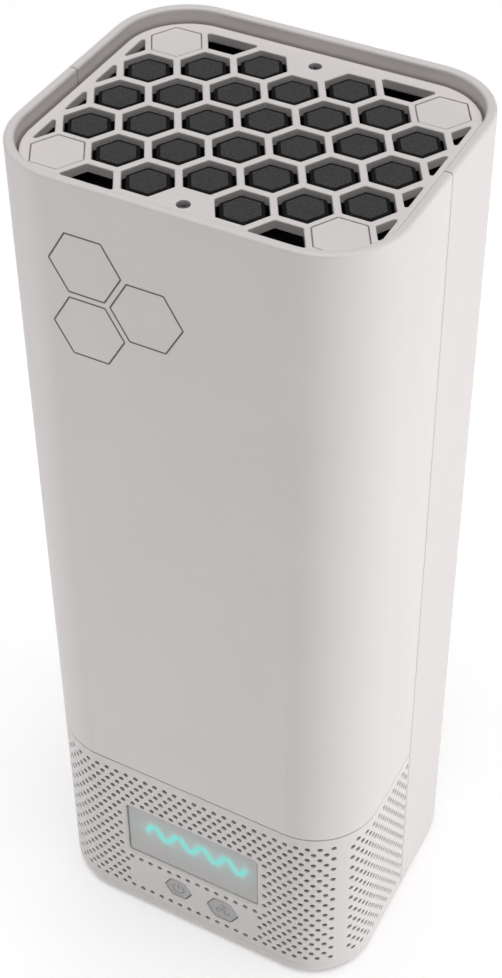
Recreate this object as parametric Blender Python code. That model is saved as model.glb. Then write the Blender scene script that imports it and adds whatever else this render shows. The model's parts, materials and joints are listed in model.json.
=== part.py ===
"""Desktop air purifier tower: two tall cover shells, a lower intake band with display and keys,
a honeycomb outlet on top, and a fan, a filter and their boards inside.

Metres, +Z up. The display faces -Y. The origin is on the floor, under the middle of the tower.
"""
import math

import bpy
import bmesh
from mathutils import Vector

# ---- driving dimensions -------------------------------------------------------------------------
BODY_WIDTH = 0.1086          # X
BODY_DEPTH = 0.0912          # Y
BODY_HEIGHT = 0.2910         # floor to the top of the rim
CORNER_RADIUS = 0.0215
WALL = 0.0028
FLOOR_GAP = 0.0010           # the shells stand this far off the floor, on the feet
GAP = 0.0003                 # between pieces that touch
SEAM = 0.0004                # parting line between the covers
BAND_TOP = 0.0718            # parting line between the intake band and the front cover
LIP_HEIGHT = 0.0035          # the band's lip stands up inside the front cover
LIP_THICKNESS = 0.0015
RIM_STEP = 0.0042            # from the rim's top down to the grille
EDGE = 0.0009                # rounding of the shells' upper edges
FOOT_EDGE = (0.0018, 0.0030)  # bevel round the casing's foot: inward, upward

CELL_PITCH = 0.0150          # honeycomb, across flats
WEB = 0.0020                 # plastic between two cells
GRILLE_THICKNESS = 0.0026
GRILLE_GAP = 0.0007          # grille to rim wall
GRILLE_FRAME_X = 0.0480      # the cells end at these half sizes
GRILLE_FRAME_Y = 0.03825
PAD_MARGIN = 0.0010          # filter pad to cell wall
PAD_SINK = 0.0008            # filter pad below the grille's top
PLUG_FLATS = 0.0132
PLUG_THICKNESS = 0.0013
PLUG_POCKET_DEPTH = 0.0016

MESH_THICKNESS = 0.0010      # dust mesh behind the intake band
WINDOW_SIZE = (0.0474, 0.0240)
WINDOW_Z = 0.0400
WINDOW_RADIUS = 0.0016
WINDOW_RECESS = 0.0007
POWER_KEY = (-0.0056, 0.0179, 0.0084)        # x, z, size across flats
FAN_KEY = (0.0108, 0.0172, 0.0098)
KEY_FLANGE = 0.0013          # the flange stands out this far around the key
FLANGE_THICKNESS = 0.0012
PLUNGER_RADIUS = 0.0017
PLUNGER_LENGTH = 0.0030
SWITCH_HALF = 0.0030
SWITCH_DEPTH = 0.0035

FOOT_RADIUS = 0.0065
FOOT_HEIGHT = 0.0022
BASE_BOTTOM = 0.0013
BASE_THICKNESS = 0.0040
TAB_THICKNESS = 0.0023
TAB_SET_IN = 0.0012          # how deep a tab sinks into its cover's wall
TAB_REACH = (0.0035, 0.0030)  # from the screw towards the middle, X and Y
PAST = 0.0020                # cutters run this far past what they cut
CLEARANCE = 0.0004           # round a screw, in a hole that it passes
SCREW_RADIUS = 0.0013
HEAD_RADIUS = 0.0027
SMALL_SCREW_RADIUS = 0.0009

DECK_BOTTOM = 0.0760
DECK_THICKNESS = 0.0030
FAN_SIZE = 0.0800
FAN_DEPTH = 0.0250
FAN_BORE = 0.0380
FAN_HOLES = 0.0715           # screw spacing of an 80 mm fan
MOTOR_MOUNT = 0.0030         # height of the motor's mount and its struts
SHAFT_RADIUS = 0.0015
BLADE_COUNT = 7
BLADE_TIP = 0.0368
HUB_RADIUS = 0.0165
DUCT_WALL = 0.0018
FILTER_LEDGE = 0.1600
FILTER_TOP = 0.2720
PLEAT_COUNT = 15
MEDIA_THICKNESS = 0.0008
SOCKET_Z = 0.0190
SOCKET_NOSE = 0.0048         # radius of the round part in the rear cover
SOCKET_BORE = 0.0031

ARC_STEPS = 6                # facets of a quarter round corner
ROUND_STEPS = 16             # facets of a full round

# ---- places worked out from them ----------------------------------------------------------------
FRONT = -BODY_DEPTH / 2
REAR = BODY_DEPTH / 2
INNER_FRONT = FRONT + WALL
INNER_REAR = REAR - WALL
GRILLE_TOP = BODY_HEIGHT - RIM_STEP
GRILLE_BOTTOM = GRILLE_TOP - GRILLE_THICKNESS
TOP_TAB = GRILLE_BOTTOM - GAP                # top face of the upper cover tabs
DUCT_TOP = TOP_TAB - TAB_THICKNESS - GAP
BASE_TOP = BASE_BOTTOM + BASE_THICKNESS
LOW_TAB = BASE_TOP + GAP                     # bottom face of the lower tabs
LEG_BOTTOM = LOW_TAB + TAB_THICKNESS + GAP
POST_X = 3 * CELL_PITCH * math.sqrt(3) / 2   # the corner screws sit under the corner cells
POST_Y = 2 * CELL_PITCH
CORNERS = [(-1, -1), (1, -1), (1, 1), (-1, 1)]
MID_SCREW_Y = 0.0355
DUCT_INSET = 0.0037                          # the duct's outer face, inside the body's plan
FAN_BOTTOM = DECK_BOTTOM + DECK_THICKNESS + GAP
FAN_TOP = FAN_BOTTOM + FAN_DEPTH
DUCT_BOTTOM = FAN_TOP + GAP
FLANGE_TOP = DUCT_BOTTOM + 0.0033
FILTER_INSET = DUCT_INSET + DUCT_WALL + 0.0005
FILTER_BOTTOM = FILTER_LEDGE + 0.0046
BOARD_FRONT = -0.0361                        # front face of the display board
BOARD_THICKNESS = 0.0016
CONTROL_BOARD_Y = 0.0300
BOARD_POST_X = 0.0290
LEAD_X = 0.0200                              # the fan lead runs up the rear at this X
UP = "UP"
OUT = "OUT"                                  # local +Z turned to world -Y


# ---- materials ----------------------------------------------------------------------------------
def material(name, color, roughness, metallic=0.0):
    made = bpy.data.materials.new(name)
    made.use_nodes = True
    shader = made.node_tree.nodes["Principled BSDF"]
    shader.inputs["Base Color"].default_value = (*color, 1.0)
    shader.inputs["Roughness"].default_value = roughness
    shader.inputs["Metallic"].default_value = metallic
    return made


def make_materials():
    return {
        "casing": material("casing_plastic", (0.66, 0.64, 0.63), 0.50),
        "key": material("key_plastic", (0.42, 0.42, 0.42), 0.45),
        "window": material("window_plastic", (0.55, 0.56, 0.55), 0.20),
        "glow": material("display_glow", (0.30, 0.85, 0.78), 0.40),
        "foam": material("carbon_panel", (0.05, 0.05, 0.05), 0.95),
        "media": material("filter_media", (0.86, 0.86, 0.84), 0.90),
        "inner": material("inner_plastic", (0.12, 0.12, 0.13), 0.55),
        "board": material("circuit_board", (0.04, 0.20, 0.10), 0.50),
        "steel": material("screw_steel", (0.20, 0.20, 0.21), 0.35, 0.9),
        "copper": material("motor_copper", (0.50, 0.25, 0.12), 0.40, 0.8),
        "rubber": material("rubber", (0.03, 0.03, 0.03), 0.85),
    }


# ---- mesh helpers -------------------------------------------------------------------------------
def add_object(name, mesh, finish=None, place=(0, 0, 0), facing=UP):
    made = bpy.data.objects.new(name, mesh)
    made.location = place
    if facing == OUT:
        made.rotation_euler = (math.pi / 2, 0, 0)
    if finish:
        mesh.materials.append(finish)
    bpy.context.scene.collection.objects.link(made)
    return made


def closed_mesh(name, work, smooth_angle=35):
    """Mesh of a finished bmesh: doubles merged, faces pointing out, round parts smooth."""
    bmesh.ops.remove_doubles(work, verts=work.verts, dist=1e-6)
    bmesh.ops.recalc_face_normals(work, faces=work.faces)
    mesh = bpy.data.meshes.new(name)
    work.to_mesh(mesh)
    work.free()
    mesh.shade_smooth()
    mesh.set_sharp_from_angle(angle=math.radians(smooth_angle))
    return mesh


def add_prism(work, outline, low, high):
    """One closed prism: a counter-clockwise or clockwise outline, from low to high."""
    lower = [work.verts.new((x, y, low)) for x, y in outline]
    upper = [work.verts.new((x, y, high)) for x, y in outline]
    work.faces.new(lower)
    work.faces.new(upper)
    count = len(outline)
    for i in range(count):
        j = (i + 1) % count
        work.faces.new((lower[i], lower[j], upper[j], upper[i]))


def prism_mesh(name, outlines, low, high):
    """Separate prisms that share their two levels, in one mesh."""
    work = bmesh.new()
    for outline in outlines:
        add_prism(work, outline, low, high)
    return closed_mesh(name, work)


def add_prisms(name, outlines, low, high, finish=None, place=(0, 0, 0), facing=UP):
    return add_object(name, prism_mesh(name, outlines, low, high), finish, place, facing)


def turned_mesh(name, profile, steps=ROUND_STEPS):
    """Profile of (radius, z) turned about Z. It runs from axis to axis, or is a closed ring."""
    work = bmesh.new()
    rings = []
    for radius, z in profile:
        if radius == 0:
            rings.append([work.verts.new((0, 0, z))] * steps)
        else:
            turn = [2 * math.pi * i / steps for i in range(steps)]
            rings.append([work.verts.new((radius * math.cos(a), radius * math.sin(a), z)) for a in turn])
    pairs = list(zip(rings, rings[1:]))
    if profile[0][0] > 0:
        pairs.append((rings[-1], rings[0]))
    for one, two in pairs:
        for i in range(steps):
            j = (i + 1) % steps
            corners = []
            for vert in (one[i], one[j], two[j], two[i]):
                if vert not in corners:
                    corners.append(vert)
            if len(corners) > 2:
                work.faces.new(corners)
    return closed_mesh(name, work)


def swept_mesh(name, path, profile, closed):
    """Profile of (inset, z) carried along a path of points and outward normals."""
    work = bmesh.new()
    rows = []
    for point, normal in path:
        rows.append([work.verts.new((*(point - normal * inset), z)) for inset, z in profile])
    count = len(profile)
    pairs = list(zip(rows, rows[1:]))
    if closed:
        pairs.append((rows[-1], rows[0]))
    else:
        work.faces.new(rows[0])
        work.faces.new(rows[-1])
    for one, two in pairs:
        for i in range(count):
            j = (i + 1) % count
            work.faces.new((one[i], one[j], two[j], two[i]))
    return closed_mesh(name, work)


def helper(made):
    """Marks a cutter or a joined shape, which isn't a piece of its own."""
    made.hide_render = True
    made.display_type = "WIRE"
    return made


def combine(target, other, operation):
    modifier = target.modifiers.new(other.name, "BOOLEAN")
    modifier.operation = operation
    modifier.solver = "EXACT"
    modifier.object = helper(other)


def cut(target, *cutters):
    for cutter in cutters:
        combine(target, cutter, "DIFFERENCE")


def weld(target, *others):
    for other in others:
        combine(target, other, "UNION")


# ---- outlines -----------------------------------------------------------------------------------
def circle(x, y, radius, steps=ROUND_STEPS):
    turn = [2 * math.pi * i / steps for i in range(steps)]
    return [(x + radius * math.cos(a), y + radius * math.sin(a)) for a in turn]


def rectangle(x, y, half_x, half_y):
    return [(x + sx * half_x, y + sy * half_y) for sx, sy in CORNERS]


def hexagon(x, y, flats):
    """Hexagon with corners towards +X and -X, by its size across flats."""
    radius = flats / math.sqrt(3)
    return circle(x, y, radius, 6)


def corner_arc(sign_x, sign_y, half_x, half_y, radius, steps=ARC_STEPS):
    """Quarter round corner, from the side face to the front or rear face."""
    arc = []
    for i in range(steps + 1):
        a = math.pi / 2 * i / steps
        normal = Vector((sign_x * math.cos(a), sign_y * math.sin(a)))
        centre = Vector((sign_x * (half_x - radius), sign_y * (half_y - radius)))
        arc.append((centre + normal * radius, normal))
    return arc


def rounded_rectangle(half_x, half_y, radius, steps=ARC_STEPS):
    outline = []
    for sign_x, sign_y, backwards in ((1, 1, False), (-1, 1, True), (-1, -1, False), (1, -1, True)):
        arc = corner_arc(sign_x, sign_y, half_x, half_y, radius, steps)
        outline += [tuple(point) for point, _ in (reversed(arc) if backwards else arc)]
    return outline


def body_outline(inset):
    return rounded_rectangle(BODY_WIDTH / 2 - inset, BODY_DEPTH / 2 - inset, CORNER_RADIUS - inset)


def half_path(side):
    """Plan of one half of the body, side -1 front or +1 rear, from the right seam to the left."""
    half_x, half_y = BODY_WIDTH / 2, BODY_DEPTH / 2
    right = corner_arc(1, side, half_x, half_y, CORNER_RADIUS)
    left = corner_arc(-1, side, half_x, half_y, CORNER_RADIUS)
    seam = side * SEAM / 2
    start = (Vector((half_x, seam)), Vector((1, 0)))
    end = (Vector((-half_x, seam)), Vector((-1, 0)))
    return [start] + right + left[::-1] + [end]


def full_path():
    path = []
    for sign_x, sign_y, backwards in ((1, 1, False), (-1, 1, True), (-1, -1, False), (1, -1, True)):
        arc = corner_arc(sign_x, sign_y, BODY_WIDTH / 2, BODY_DEPTH / 2, CORNER_RADIUS)
        path += arc[::-1] if backwards else arc
    return path


def clipped(outline, axis, limit):
    """The part of a convex outline where the coordinate on that axis stays within +-limit."""
    for sign in (1, -1):
        kept = []
        for i, point in enumerate(outline):
            following = outline[(i + 1) % len(outline)]
            inside, inside_next = sign * point[axis] <= limit, sign * following[axis] <= limit
            if inside:
                kept.append(point)
            if inside != inside_next:
                t = (sign * limit - point[axis]) / (following[axis] - point[axis])
                kept.append(tuple(a + t * (b - a) for a, b in zip(point, following)))
        outline = kept
    return outline


# ---- casing -------------------------------------------------------------------------------------
def corner_tab(sign_x, sign_y, low):
    """Screw tab that fills a corner of a cover, and is set into its wall."""
    radius = CORNER_RADIUS - WALL + TAB_SET_IN
    centre = Vector((BODY_WIDTH / 2 - CORNER_RADIUS, BODY_DEPTH / 2 - CORNER_RADIUS))
    near_x, near_y = POST_X - TAB_REACH[0], POST_Y - TAB_REACH[1]
    first = math.asin((near_y - centre.y) / radius)
    last = math.acos((near_x - centre.x) / radius)
    outline = [(near_x, near_y)]
    for i in range(ARC_STEPS + 1):
        a = first + (last - first) * i / ARC_STEPS
        outline.append((centre.x + radius * math.cos(a), centre.y + radius * math.sin(a)))
    outline = [(sign_x * x, sign_y * y) for x, y in outline]
    return prism_mesh("tab", [outline], low, low + TAB_THICKNESS)


def add_tabs(cover, name, side, low):
    """Both screw tabs of one half of the casing, with their holes."""
    for sign_x, sign_y in CORNERS:
        if sign_y == side:
            label = "right" if sign_x > 0 else "left"
            weld(cover, add_object(f"{name}_{label}", corner_tab(sign_x, sign_y, low)))
    holes = [circle(sign_x * POST_X, side * POST_Y, SCREW_RADIUS + CLEARANCE, 12) for sign_x in (-1, 1)]
    cut(cover, add_prisms(f"{name}_holes", holes, low - PAST, low + TAB_THICKNESS + PAST))


def rim_profile():
    """The upper edge of a cover, from outside to inside."""
    soft = EDGE * 0.3
    top = BODY_HEIGHT
    return [(0, top - EDGE), (soft, top - soft), (EDGE, top),
            (WALL - EDGE, top), (WALL - soft, top - soft), (WALL, top - EDGE)]


def foot_profile():
    """The lower edge of the casing, from the bottom up its outer face."""
    inward, upward = FOOT_EDGE
    return [(inward, FLOOR_GAP), (inward * 0.3, FLOOR_GAP + upward * 0.35), (0, FLOOR_GAP + upward)]


def make_front_cover(finish):
    bottom = BAND_TOP + SEAM
    profile = [(0, bottom)] + rim_profile() + [(WALL, bottom)]
    cover = add_object("front_cover", swept_mesh("front_cover", half_path(-1), profile, False), finish)
    add_tabs(cover, "front_cover_tab", -1, TOP_TAB - TAB_THICKNESS)


def make_rear_cover(finish):
    bottom = FLOOR_GAP
    profile = foot_profile() + rim_profile() + [(WALL, bottom)]
    cover = add_object("rear_cover", swept_mesh("rear_cover", half_path(1), profile, False), finish)
    add_tabs(cover, "rear_cover_top_tab", 1, TOP_TAB - TAB_THICKNESS)
    add_tabs(cover, "rear_cover_low_tab", 1, LOW_TAB)
    hole = circle(0, 0, SOCKET_NOSE + CLEARANCE)
    cut(cover, add_prisms("socket_hole", [hole], -PAST, WALL + PAST, place=(0, REAR, SOCKET_Z), facing=OUT))


def make_intake_band(finish):
    bottom = FLOOR_GAP
    lip_outer, lip_inner = WALL + GAP, WALL + LIP_THICKNESS
    lip_top, lip_root = BAND_TOP + LIP_HEIGHT, BAND_TOP - LIP_THICKNESS * 2
    profile = foot_profile() + [(0, BAND_TOP), (lip_outer, BAND_TOP), (lip_outer, lip_top),
                                (lip_inner, lip_top), (lip_inner, lip_root),
                                (WALL, lip_root - LIP_THICKNESS), (WALL, bottom)]
    band = add_object("intake_band", swept_mesh("intake_band", half_path(-1), profile, False), finish)
    add_tabs(band, "intake_band_tab", -1, LOW_TAB)
    half_x, half_z = WINDOW_SIZE[0] / 2, WINDOW_SIZE[1] / 2
    openings = [[(x, z + WINDOW_Z) for x, z in rounded_rectangle(half_x, half_z, WINDOW_RADIUS, 3)]]
    openings += [hexagon(x, z, flats + 2 * GAP) for x, z, flats in (POWER_KEY, FAN_KEY)]
    cutter = add_prisms("band_openings", openings, -WALL - PAST, PAST, place=(0, FRONT, 0), facing=OUT)
    cut(band, cutter)


def make_intake_mesh(finish):
    """Dust mesh behind the perforated band, open behind the display and the keys."""
    outer, inner = WALL + 2 * GAP, WALL + 2 * GAP + MESH_THICKNESS
    low, high = LEG_BOTTOM + GAP, BAND_TOP - 0.0052
    profile = [(outer, low), (outer, high), (inner, high), (inner, low)]
    sheet = add_object("intake_mesh", swept_mesh("intake_mesh", half_path(-1), profile, False), finish)
    window = rectangle(0, 0.0325, 0.0265, 0.0230)
    reach = 2 * MESH_THICKNESS + PAST
    cut(sheet, add_prisms("mesh_window", [window], -reach, reach, place=(0, INNER_FRONT, 0), facing=OUT))


def make_base_plate(finish):
    plate = add_prisms("base_plate", [body_outline(WALL + GAP)], BASE_BOTTOM, BASE_TOP, finish)
    places = [(sx * POST_X, sy * POST_Y) for sx, sy in CORNERS]
    steps = ((FOOT_RADIUS + GAP, BASE_BOTTOM - PAST, FOOT_HEIGHT + GAP),
             (HEAD_RADIUS + GAP, BASE_BOTTOM, FOOT_HEIGHT + 0.0018),
             (SCREW_RADIUS + CLEARANCE, BASE_BOTTOM, BASE_TOP + PAST))
    for number, (radius, low, high) in enumerate(steps, 1):
        holes = [circle(x, y, radius) for x, y in places]
        cut(plate, add_prisms(f"base_holes_{number}", holes, low, high))


def make_feet(finish):
    bevel = 0.0006
    profile = [(0, 0), (FOOT_RADIUS - bevel, 0), (FOOT_RADIUS, bevel), (FOOT_RADIUS, FOOT_HEIGHT),
               (0, FOOT_HEIGHT)]
    mesh = turned_mesh("foot", profile)
    for number, (sx, sy) in enumerate(CORNERS, 1):
        add_object(f"foot_{number}", mesh, None if mesh.materials else finish,
                   (sx * POST_X, sy * POST_Y, 0))


def screw_mesh(name, length, radius, head_radius, head_height):
    """Screw with its head's top at z = 0 and its point down."""
    return turned_mesh(name, [(0, -length), (radius, radius - length), (radius, -head_height),
                              (head_radius, -head_height), (head_radius, 0), (0, 0)], 10)


def make_screws(finish):
    """All fasteners: base, corners of the outlet, middle of the outlet, fan and boards."""
    base = screw_mesh("base_screw", 0.0150, SCREW_RADIUS, HEAD_RADIUS, 0.0012)
    corner = screw_mesh("corner_screw", 0.0110, SCREW_RADIUS, 0.0026, 0.0007)
    middle = screw_mesh("grille_screw", 0.0095, SMALL_SCREW_RADIUS, 0.00155, 0.0008)
    fan = screw_mesh("fan_screw", 0.0330, 0.0018, 0.0034, 0.0020)
    board = screw_mesh("board_screw", 0.0060, SMALL_SCREW_RADIUS, 0.0018, 0.0010)
    for mesh in (base, corner, middle, fan, board):
        mesh.materials.append(finish)
    for number, (sx, sy) in enumerate(CORNERS, 1):
        x, y = sx * POST_X, sy * POST_Y
        from_below = add_object(f"base_screw_{number}", base, place=(x, y, FOOT_HEIGHT + 0.0005))
        from_below.rotation_euler = (math.pi, 0, 0)
        head_top = GRILLE_TOP - PLUG_POCKET_DEPTH + GAP / 2 + 0.0007
        add_object(f"corner_screw_{number}", corner, place=(x, y, head_top))
        x, y = sx * FAN_HOLES / 2, sy * FAN_HOLES / 2
        add_object(f"fan_screw_{number}", fan, place=(x, y, FLANGE_TOP + 0.0023))
    for label, side in (("front", -1), ("rear", 1)):
        add_object(f"grille_screw_{label}", middle, place=(0, side * MID_SCREW_Y, GRILLE_TOP - 0.0004))
    for label, y, face in (("display", BOARD_FRONT, 1), ("control", CONTROL_BOARD_Y + BOARD_THICKNESS, -1)):
        for number, (x, z) in enumerate(board_screw_places(), 1):
            screw = add_object(f"{label}_board_screw_{number}", board, place=(x, y - face * 0.0013, z))
            screw.rotation_euler = (face * math.pi / 2, 0, 0)


def board_screw_places():
    return (-BOARD_POST_X, 0.0600), (BOARD_POST_X, 0.0130)


def board_holes():
    return [circle(x, z, SMALL_SCREW_RADIUS + GAP, 12) for x, z in board_screw_places()]


# ---- outlet -------------------------------------------------------------------------------------
def is_open(column, half_row):
    """Whether a place of the honeycomb holds an open cell; rows are counted in half pitches."""
    if (column + half_row) % 2 == 0:
        return False
    corner_plug = abs(column) == 3 and abs(half_row) == 4
    screw_land = column == 0 and abs(half_row) == 5
    beyond_frame = abs(column) == 4 and abs(half_row) == 5
    return not (corner_plug or screw_land or beyond_frame)


def cell_outlines():
    """Open cells of the honeycomb, and those that the frame cuts."""
    cells = []
    for column in range(-4, 5):
        for half_row in range(-5, 6):
            if is_open(column, half_row):
                x = column * CELL_PITCH * math.sqrt(3) / 2
                cell = hexagon(x, half_row * CELL_PITCH / 2, CELL_PITCH - WEB)
                cells.append(clipped(clipped(cell, 0, GRILLE_FRAME_X), 1, GRILLE_FRAME_Y))
    return cells


def make_outlet_grille(finish):
    outline = body_outline(WALL + GRILLE_GAP)
    plate = add_prisms("outlet_grille", [outline], GRILLE_BOTTOM, GRILLE_TOP, finish)
    below, above = GRILLE_BOTTOM - PAST, GRILLE_TOP + PAST
    corners = [(sx * POST_X, sy * POST_Y) for sx, sy in CORNERS]
    middles = [(0, side * MID_SCREW_Y) for side in (-1, 1)]
    pockets = [hexagon(x, y, PLUG_FLATS + 2 * GAP) for x, y in corners]
    corner_holes = [circle(x, y, SCREW_RADIUS + CLEARANCE, 12) for x, y in corners]
    middle_holes = [circle(x, y, SMALL_SCREW_RADIUS + GAP) for x, y in middles]
    sinks = [circle(x, y, 0.0018) for x, y in middles]
    cut(plate,
        add_prisms("cells", cell_outlines(), below, above),
        add_prisms("plug_pockets", pockets, GRILLE_TOP - PLUG_POCKET_DEPTH, above),
        add_prisms("corner_holes", corner_holes, below, above),
        add_prisms("middle_holes", middle_holes, below, above),
        add_prisms("middle_sinks", sinks, GRILLE_TOP - 0.0015, above))


def make_corner_plugs(finish):
    low = GRILLE_TOP - PLUG_THICKNESS
    for number, (sx, sy) in enumerate(CORNERS, 1):
        x, y = sx * POST_X, sy * POST_Y
        plug = add_prisms(f"corner_plug_{number}", [hexagon(x, y, PLUG_FLATS)], low, GRILLE_TOP, finish)
        hollow = circle(x, y, HEAD_RADIUS + 0.0005)
        cut(plug, add_prisms(f"plug_hollow_{number}", [hollow], low - PAST, low + 0.0008))


def cell_pad_outlines():
    """The filter's raised pads, one in each cell that the grille's frame leaves whole."""
    pads = []
    for column in range(-3, 4):
        for half_row in range(-4, 5):
            if is_open(column, half_row):
                x = column * CELL_PITCH * math.sqrt(3) / 2
                pads.append(hexagon(x, half_row * CELL_PITCH / 2, CELL_PITCH - WEB - 2 * PAD_MARGIN))
    return pads


def make_carbon_filter(finish):
    low, high = FILTER_TOP + GAP, GRILLE_BOTTOM - 0.0010
    panel = add_prisms("carbon_filter", [body_outline(FILTER_INSET)], low, high, finish)
    notches = []
    for sx, sy in CORNERS:
        notches.append(rectangle(sx * (POST_X + 0.010), sy * (POST_Y + 0.010), 0.0148, 0.0148))
    for side in (-1, 1):
        notches.append(rectangle(0, side * (MID_SCREW_Y + 0.010), 0.0042, 0.0145))
    cut(panel, add_prisms("panel_notches", notches, low - PAST, high + PAST))
    weld(panel, add_prisms("cell_pads", cell_pad_outlines(), high - PAST, GRILLE_TOP - PAD_SINK))


# ---- display and keys ---------------------------------------------------------------------------
def flat_block(name, half_x, half_z, radius, near, far, finish):
    """Plate parallel to the front face, centred on the display, between two Y levels."""
    outline = [(x, z + WINDOW_Z) for x, z in rounded_rectangle(half_x, half_z, radius, 3)]
    return add_prisms(name, [outline], -far, -near, finish, facing=OUT)


def make_display(finishes):
    half_x, half_z = WINDOW_SIZE[0] / 2 - GAP, WINDOW_SIZE[1] / 2 - GAP
    back = INNER_FRONT + GAP
    window = flat_block("display_window", half_x, half_z, WINDOW_RADIUS, FRONT + WINDOW_RECESS, back + 0.0006,
                        finishes["window"])
    edge = 0.0015
    weld(window, flat_block("window_flange", half_x + edge, half_z + edge, WINDOW_RADIUS, back, back + 0.0010,
                            None))
    flat_block("display_diffuser", half_x - 0.0008, half_z - 0.0006, WINDOW_RADIUS,
               back + 0.0013, back + 0.0021, finishes["window"])
    flat_block("display_module", half_x - 0.0030, half_z - 0.0015, 0.0008,
               back + 0.0024, BOARD_FRONT - GAP, finishes["glow"])


def make_display_board(finish):
    outline = rectangle(0, 0.0362, BOARD_POST_X + 0.0030, 0.0268)
    back, front = -BOARD_FRONT - BOARD_THICKNESS, -BOARD_FRONT
    board = add_prisms("display_board", [outline], back, front, finish, facing=OUT)
    cut(board, add_prisms("display_board_holes", board_holes(), back - PAST, front + PAST, facing=OUT))


def make_key(name, spec, finishes):
    """A hexagonal key with its retaining flange, and the switch that it presses."""
    x, z, flats = spec
    face = FRONT + 0.0002
    flange_front = INNER_FRONT + GAP
    flange_back = flange_front + FLANGE_THICKNESS
    overlap = 0.0006
    key = add_prisms(f"{name}_key", [hexagon(0, 0, flats)], face - flange_front - overlap, 0,
                     finishes["key"], (x, face, z), OUT)
    weld(key, add_prisms(f"{name}_key_flange", [hexagon(0, 0, flats + 2 * KEY_FLANGE)],
                         face - flange_back, face - flange_front, None, (x, face, z), OUT))
    add_prisms(f"{name}_plunger", [circle(0, 0, PLUNGER_RADIUS)], -PLUNGER_LENGTH, 0, finishes["key"],
               (x, flange_back + GAP, z), OUT)
    place = (x, BOARD_FRONT - GAP - SWITCH_DEPTH, z)
    switch = add_prisms(f"{name}_switch", [rectangle(0, 0, SWITCH_HALF, SWITCH_HALF)], -SWITCH_DEPTH, 0,
                        finishes["inner"], place, OUT)
    bore = circle(0, 0, PLUNGER_RADIUS + GAP)
    cut(switch, add_prisms(f"{name}_switch_bore", [bore], -PLUNGER_LENGTH, PAST, None, place, OUT))


# ---- lower frame, fan and duct ------------------------------------------------------------------
def corner_circles(half_x, half_y, radius, steps):
    return [circle(sx * half_x, sy * half_y, radius, steps) for sx, sy in CORNERS]


def fan_screw_holes():
    return corner_circles(FAN_HOLES / 2, FAN_HOLES / 2, 0.0021, 12)


def make_lower_frame(finish):
    """Legs and board posts under a deck that carries the fan."""
    deck_top = DECK_BOTTOM + DECK_THICKNESS
    frame = add_prisms("lower_frame", [body_outline(DUCT_INSET)], DECK_BOTTOM, deck_top, finish)
    legs = corner_circles(POST_X, POST_Y, 0.0042, 16)
    post_half_x, post_half_y = 0.0028, 0.0024
    front_y = BOARD_FRONT + BOARD_THICKNESS + GAP + post_half_y
    rear_y = CONTROL_BOARD_Y - GAP - post_half_y
    posts = []
    for sx in (-1, 1):
        for y in (front_y, rear_y):
            posts.append(rectangle(sx * BOARD_POST_X, y, post_half_x, post_half_y))
    weld(frame, add_prisms("frame_legs", legs, LEG_BOTTOM, DECK_BOTTOM + 0.001),
         add_prisms("frame_posts", posts, LEG_BOTTOM, DECK_BOTTOM + 0.001))
    low, high = DECK_BOTTOM - PAST, deck_top + PAST
    bores = corner_circles(POST_X, POST_Y, SCREW_RADIUS + GAP, 12)
    lead_notch = rectangle(LEAD_X, REAR - DUCT_INSET, 0.0022, 0.0030)
    bore_depth = 0.0045
    cut(frame,
        add_prisms("deck_opening", [circle(0, 0, FAN_BORE - 0.0010, 32)], low, high),
        add_prisms("deck_holes", fan_screw_holes(), low, high),
        add_prisms("leg_bores", bores, LEG_BOTTOM - PAST, LEG_BOTTOM + 0.014),
        add_prisms("lead_notch", [lead_notch], low, high),
        add_prisms("front_post_bores", board_holes(), -bore_depth, PAST,
                   place=(0, BOARD_FRONT + BOARD_THICKNESS, 0), facing=OUT),
        add_prisms("rear_post_bores", board_holes(), -PAST, bore_depth,
                   place=(0, CONTROL_BOARD_Y, 0), facing=OUT))


def make_fan_housing(finish):
    outline = rounded_rectangle(FAN_SIZE / 2, FAN_SIZE / 2, 0.0040, 3)
    housing = add_prisms("fan_housing", [outline], FAN_BOTTOM, FAN_TOP, finish)
    low, high = FAN_BOTTOM - PAST, FAN_TOP + PAST
    cut(housing, add_prisms("fan_bore", [circle(0, 0, FAN_BORE, 32)], low, high),
        add_prisms("fan_holes", fan_screw_holes(), low, high))
    mount_low, mount_high, step = FAN_BOTTOM + 0.0002, FAN_BOTTOM + MOTOR_MOUNT, 0.0001
    mount = add_prisms("motor_mount", [circle(0, 0, 0.0170)], mount_low, mount_high)
    for number, (half_x, half_y) in enumerate(((0.0020, 0.0390), (0.0390, 0.0020)), 1):
        arm = rectangle(0, 0, half_x, half_y)
        weld(mount, add_prisms(f"strut_{number}", [arm], mount_low + step, mount_high - step))
    weld(housing, mount)


def blade_outline(radius):
    """Section of one blade at a radius, as (distance round the hub, z) about the blade's middle."""
    outward = (radius - HUB_RADIUS) / (BLADE_TIP - HUB_RADIUS)
    chord = 0.0130 + 0.0080 * outward
    pitch = math.radians(46 - 20 * outward)
    thickness, camber = 0.0016, 0.0012
    section = []
    for along, side in ((-0.5, -1), (0, -1), (0.5, -1), (0.5, 1), (0, 1), (-0.5, 1)):
        across = side * thickness / 2 + camber * (1 - (2 * along) ** 2)
        section.append((chord * along * math.cos(pitch) - across * math.sin(pitch),
                        chord * along * math.sin(pitch) + across * math.cos(pitch)))
    return section


def blades_mesh():
    work = bmesh.new()
    stations = (HUB_RADIUS - 0.0010, 0.0235, 0.0300, BLADE_TIP)
    for number in range(BLADE_COUNT):
        turn = 2 * math.pi * number / BLADE_COUNT
        rows = []
        for radius in stations:
            row = []
            for distance, z in blade_outline(radius):
                angle = turn + distance / radius
                row.append(work.verts.new((radius * math.cos(angle), radius * math.sin(angle), z)))
            rows.append(row)
        work.faces.new(rows[0])
        work.faces.new(rows[-1])
        for one, two in zip(rows, rows[1:]):
            for i in range(len(one)):
                j = (i + 1) % len(one)
                work.faces.new((one[i], one[j], two[j], two[i]))
    return closed_mesh("fan_blades", work)


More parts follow.
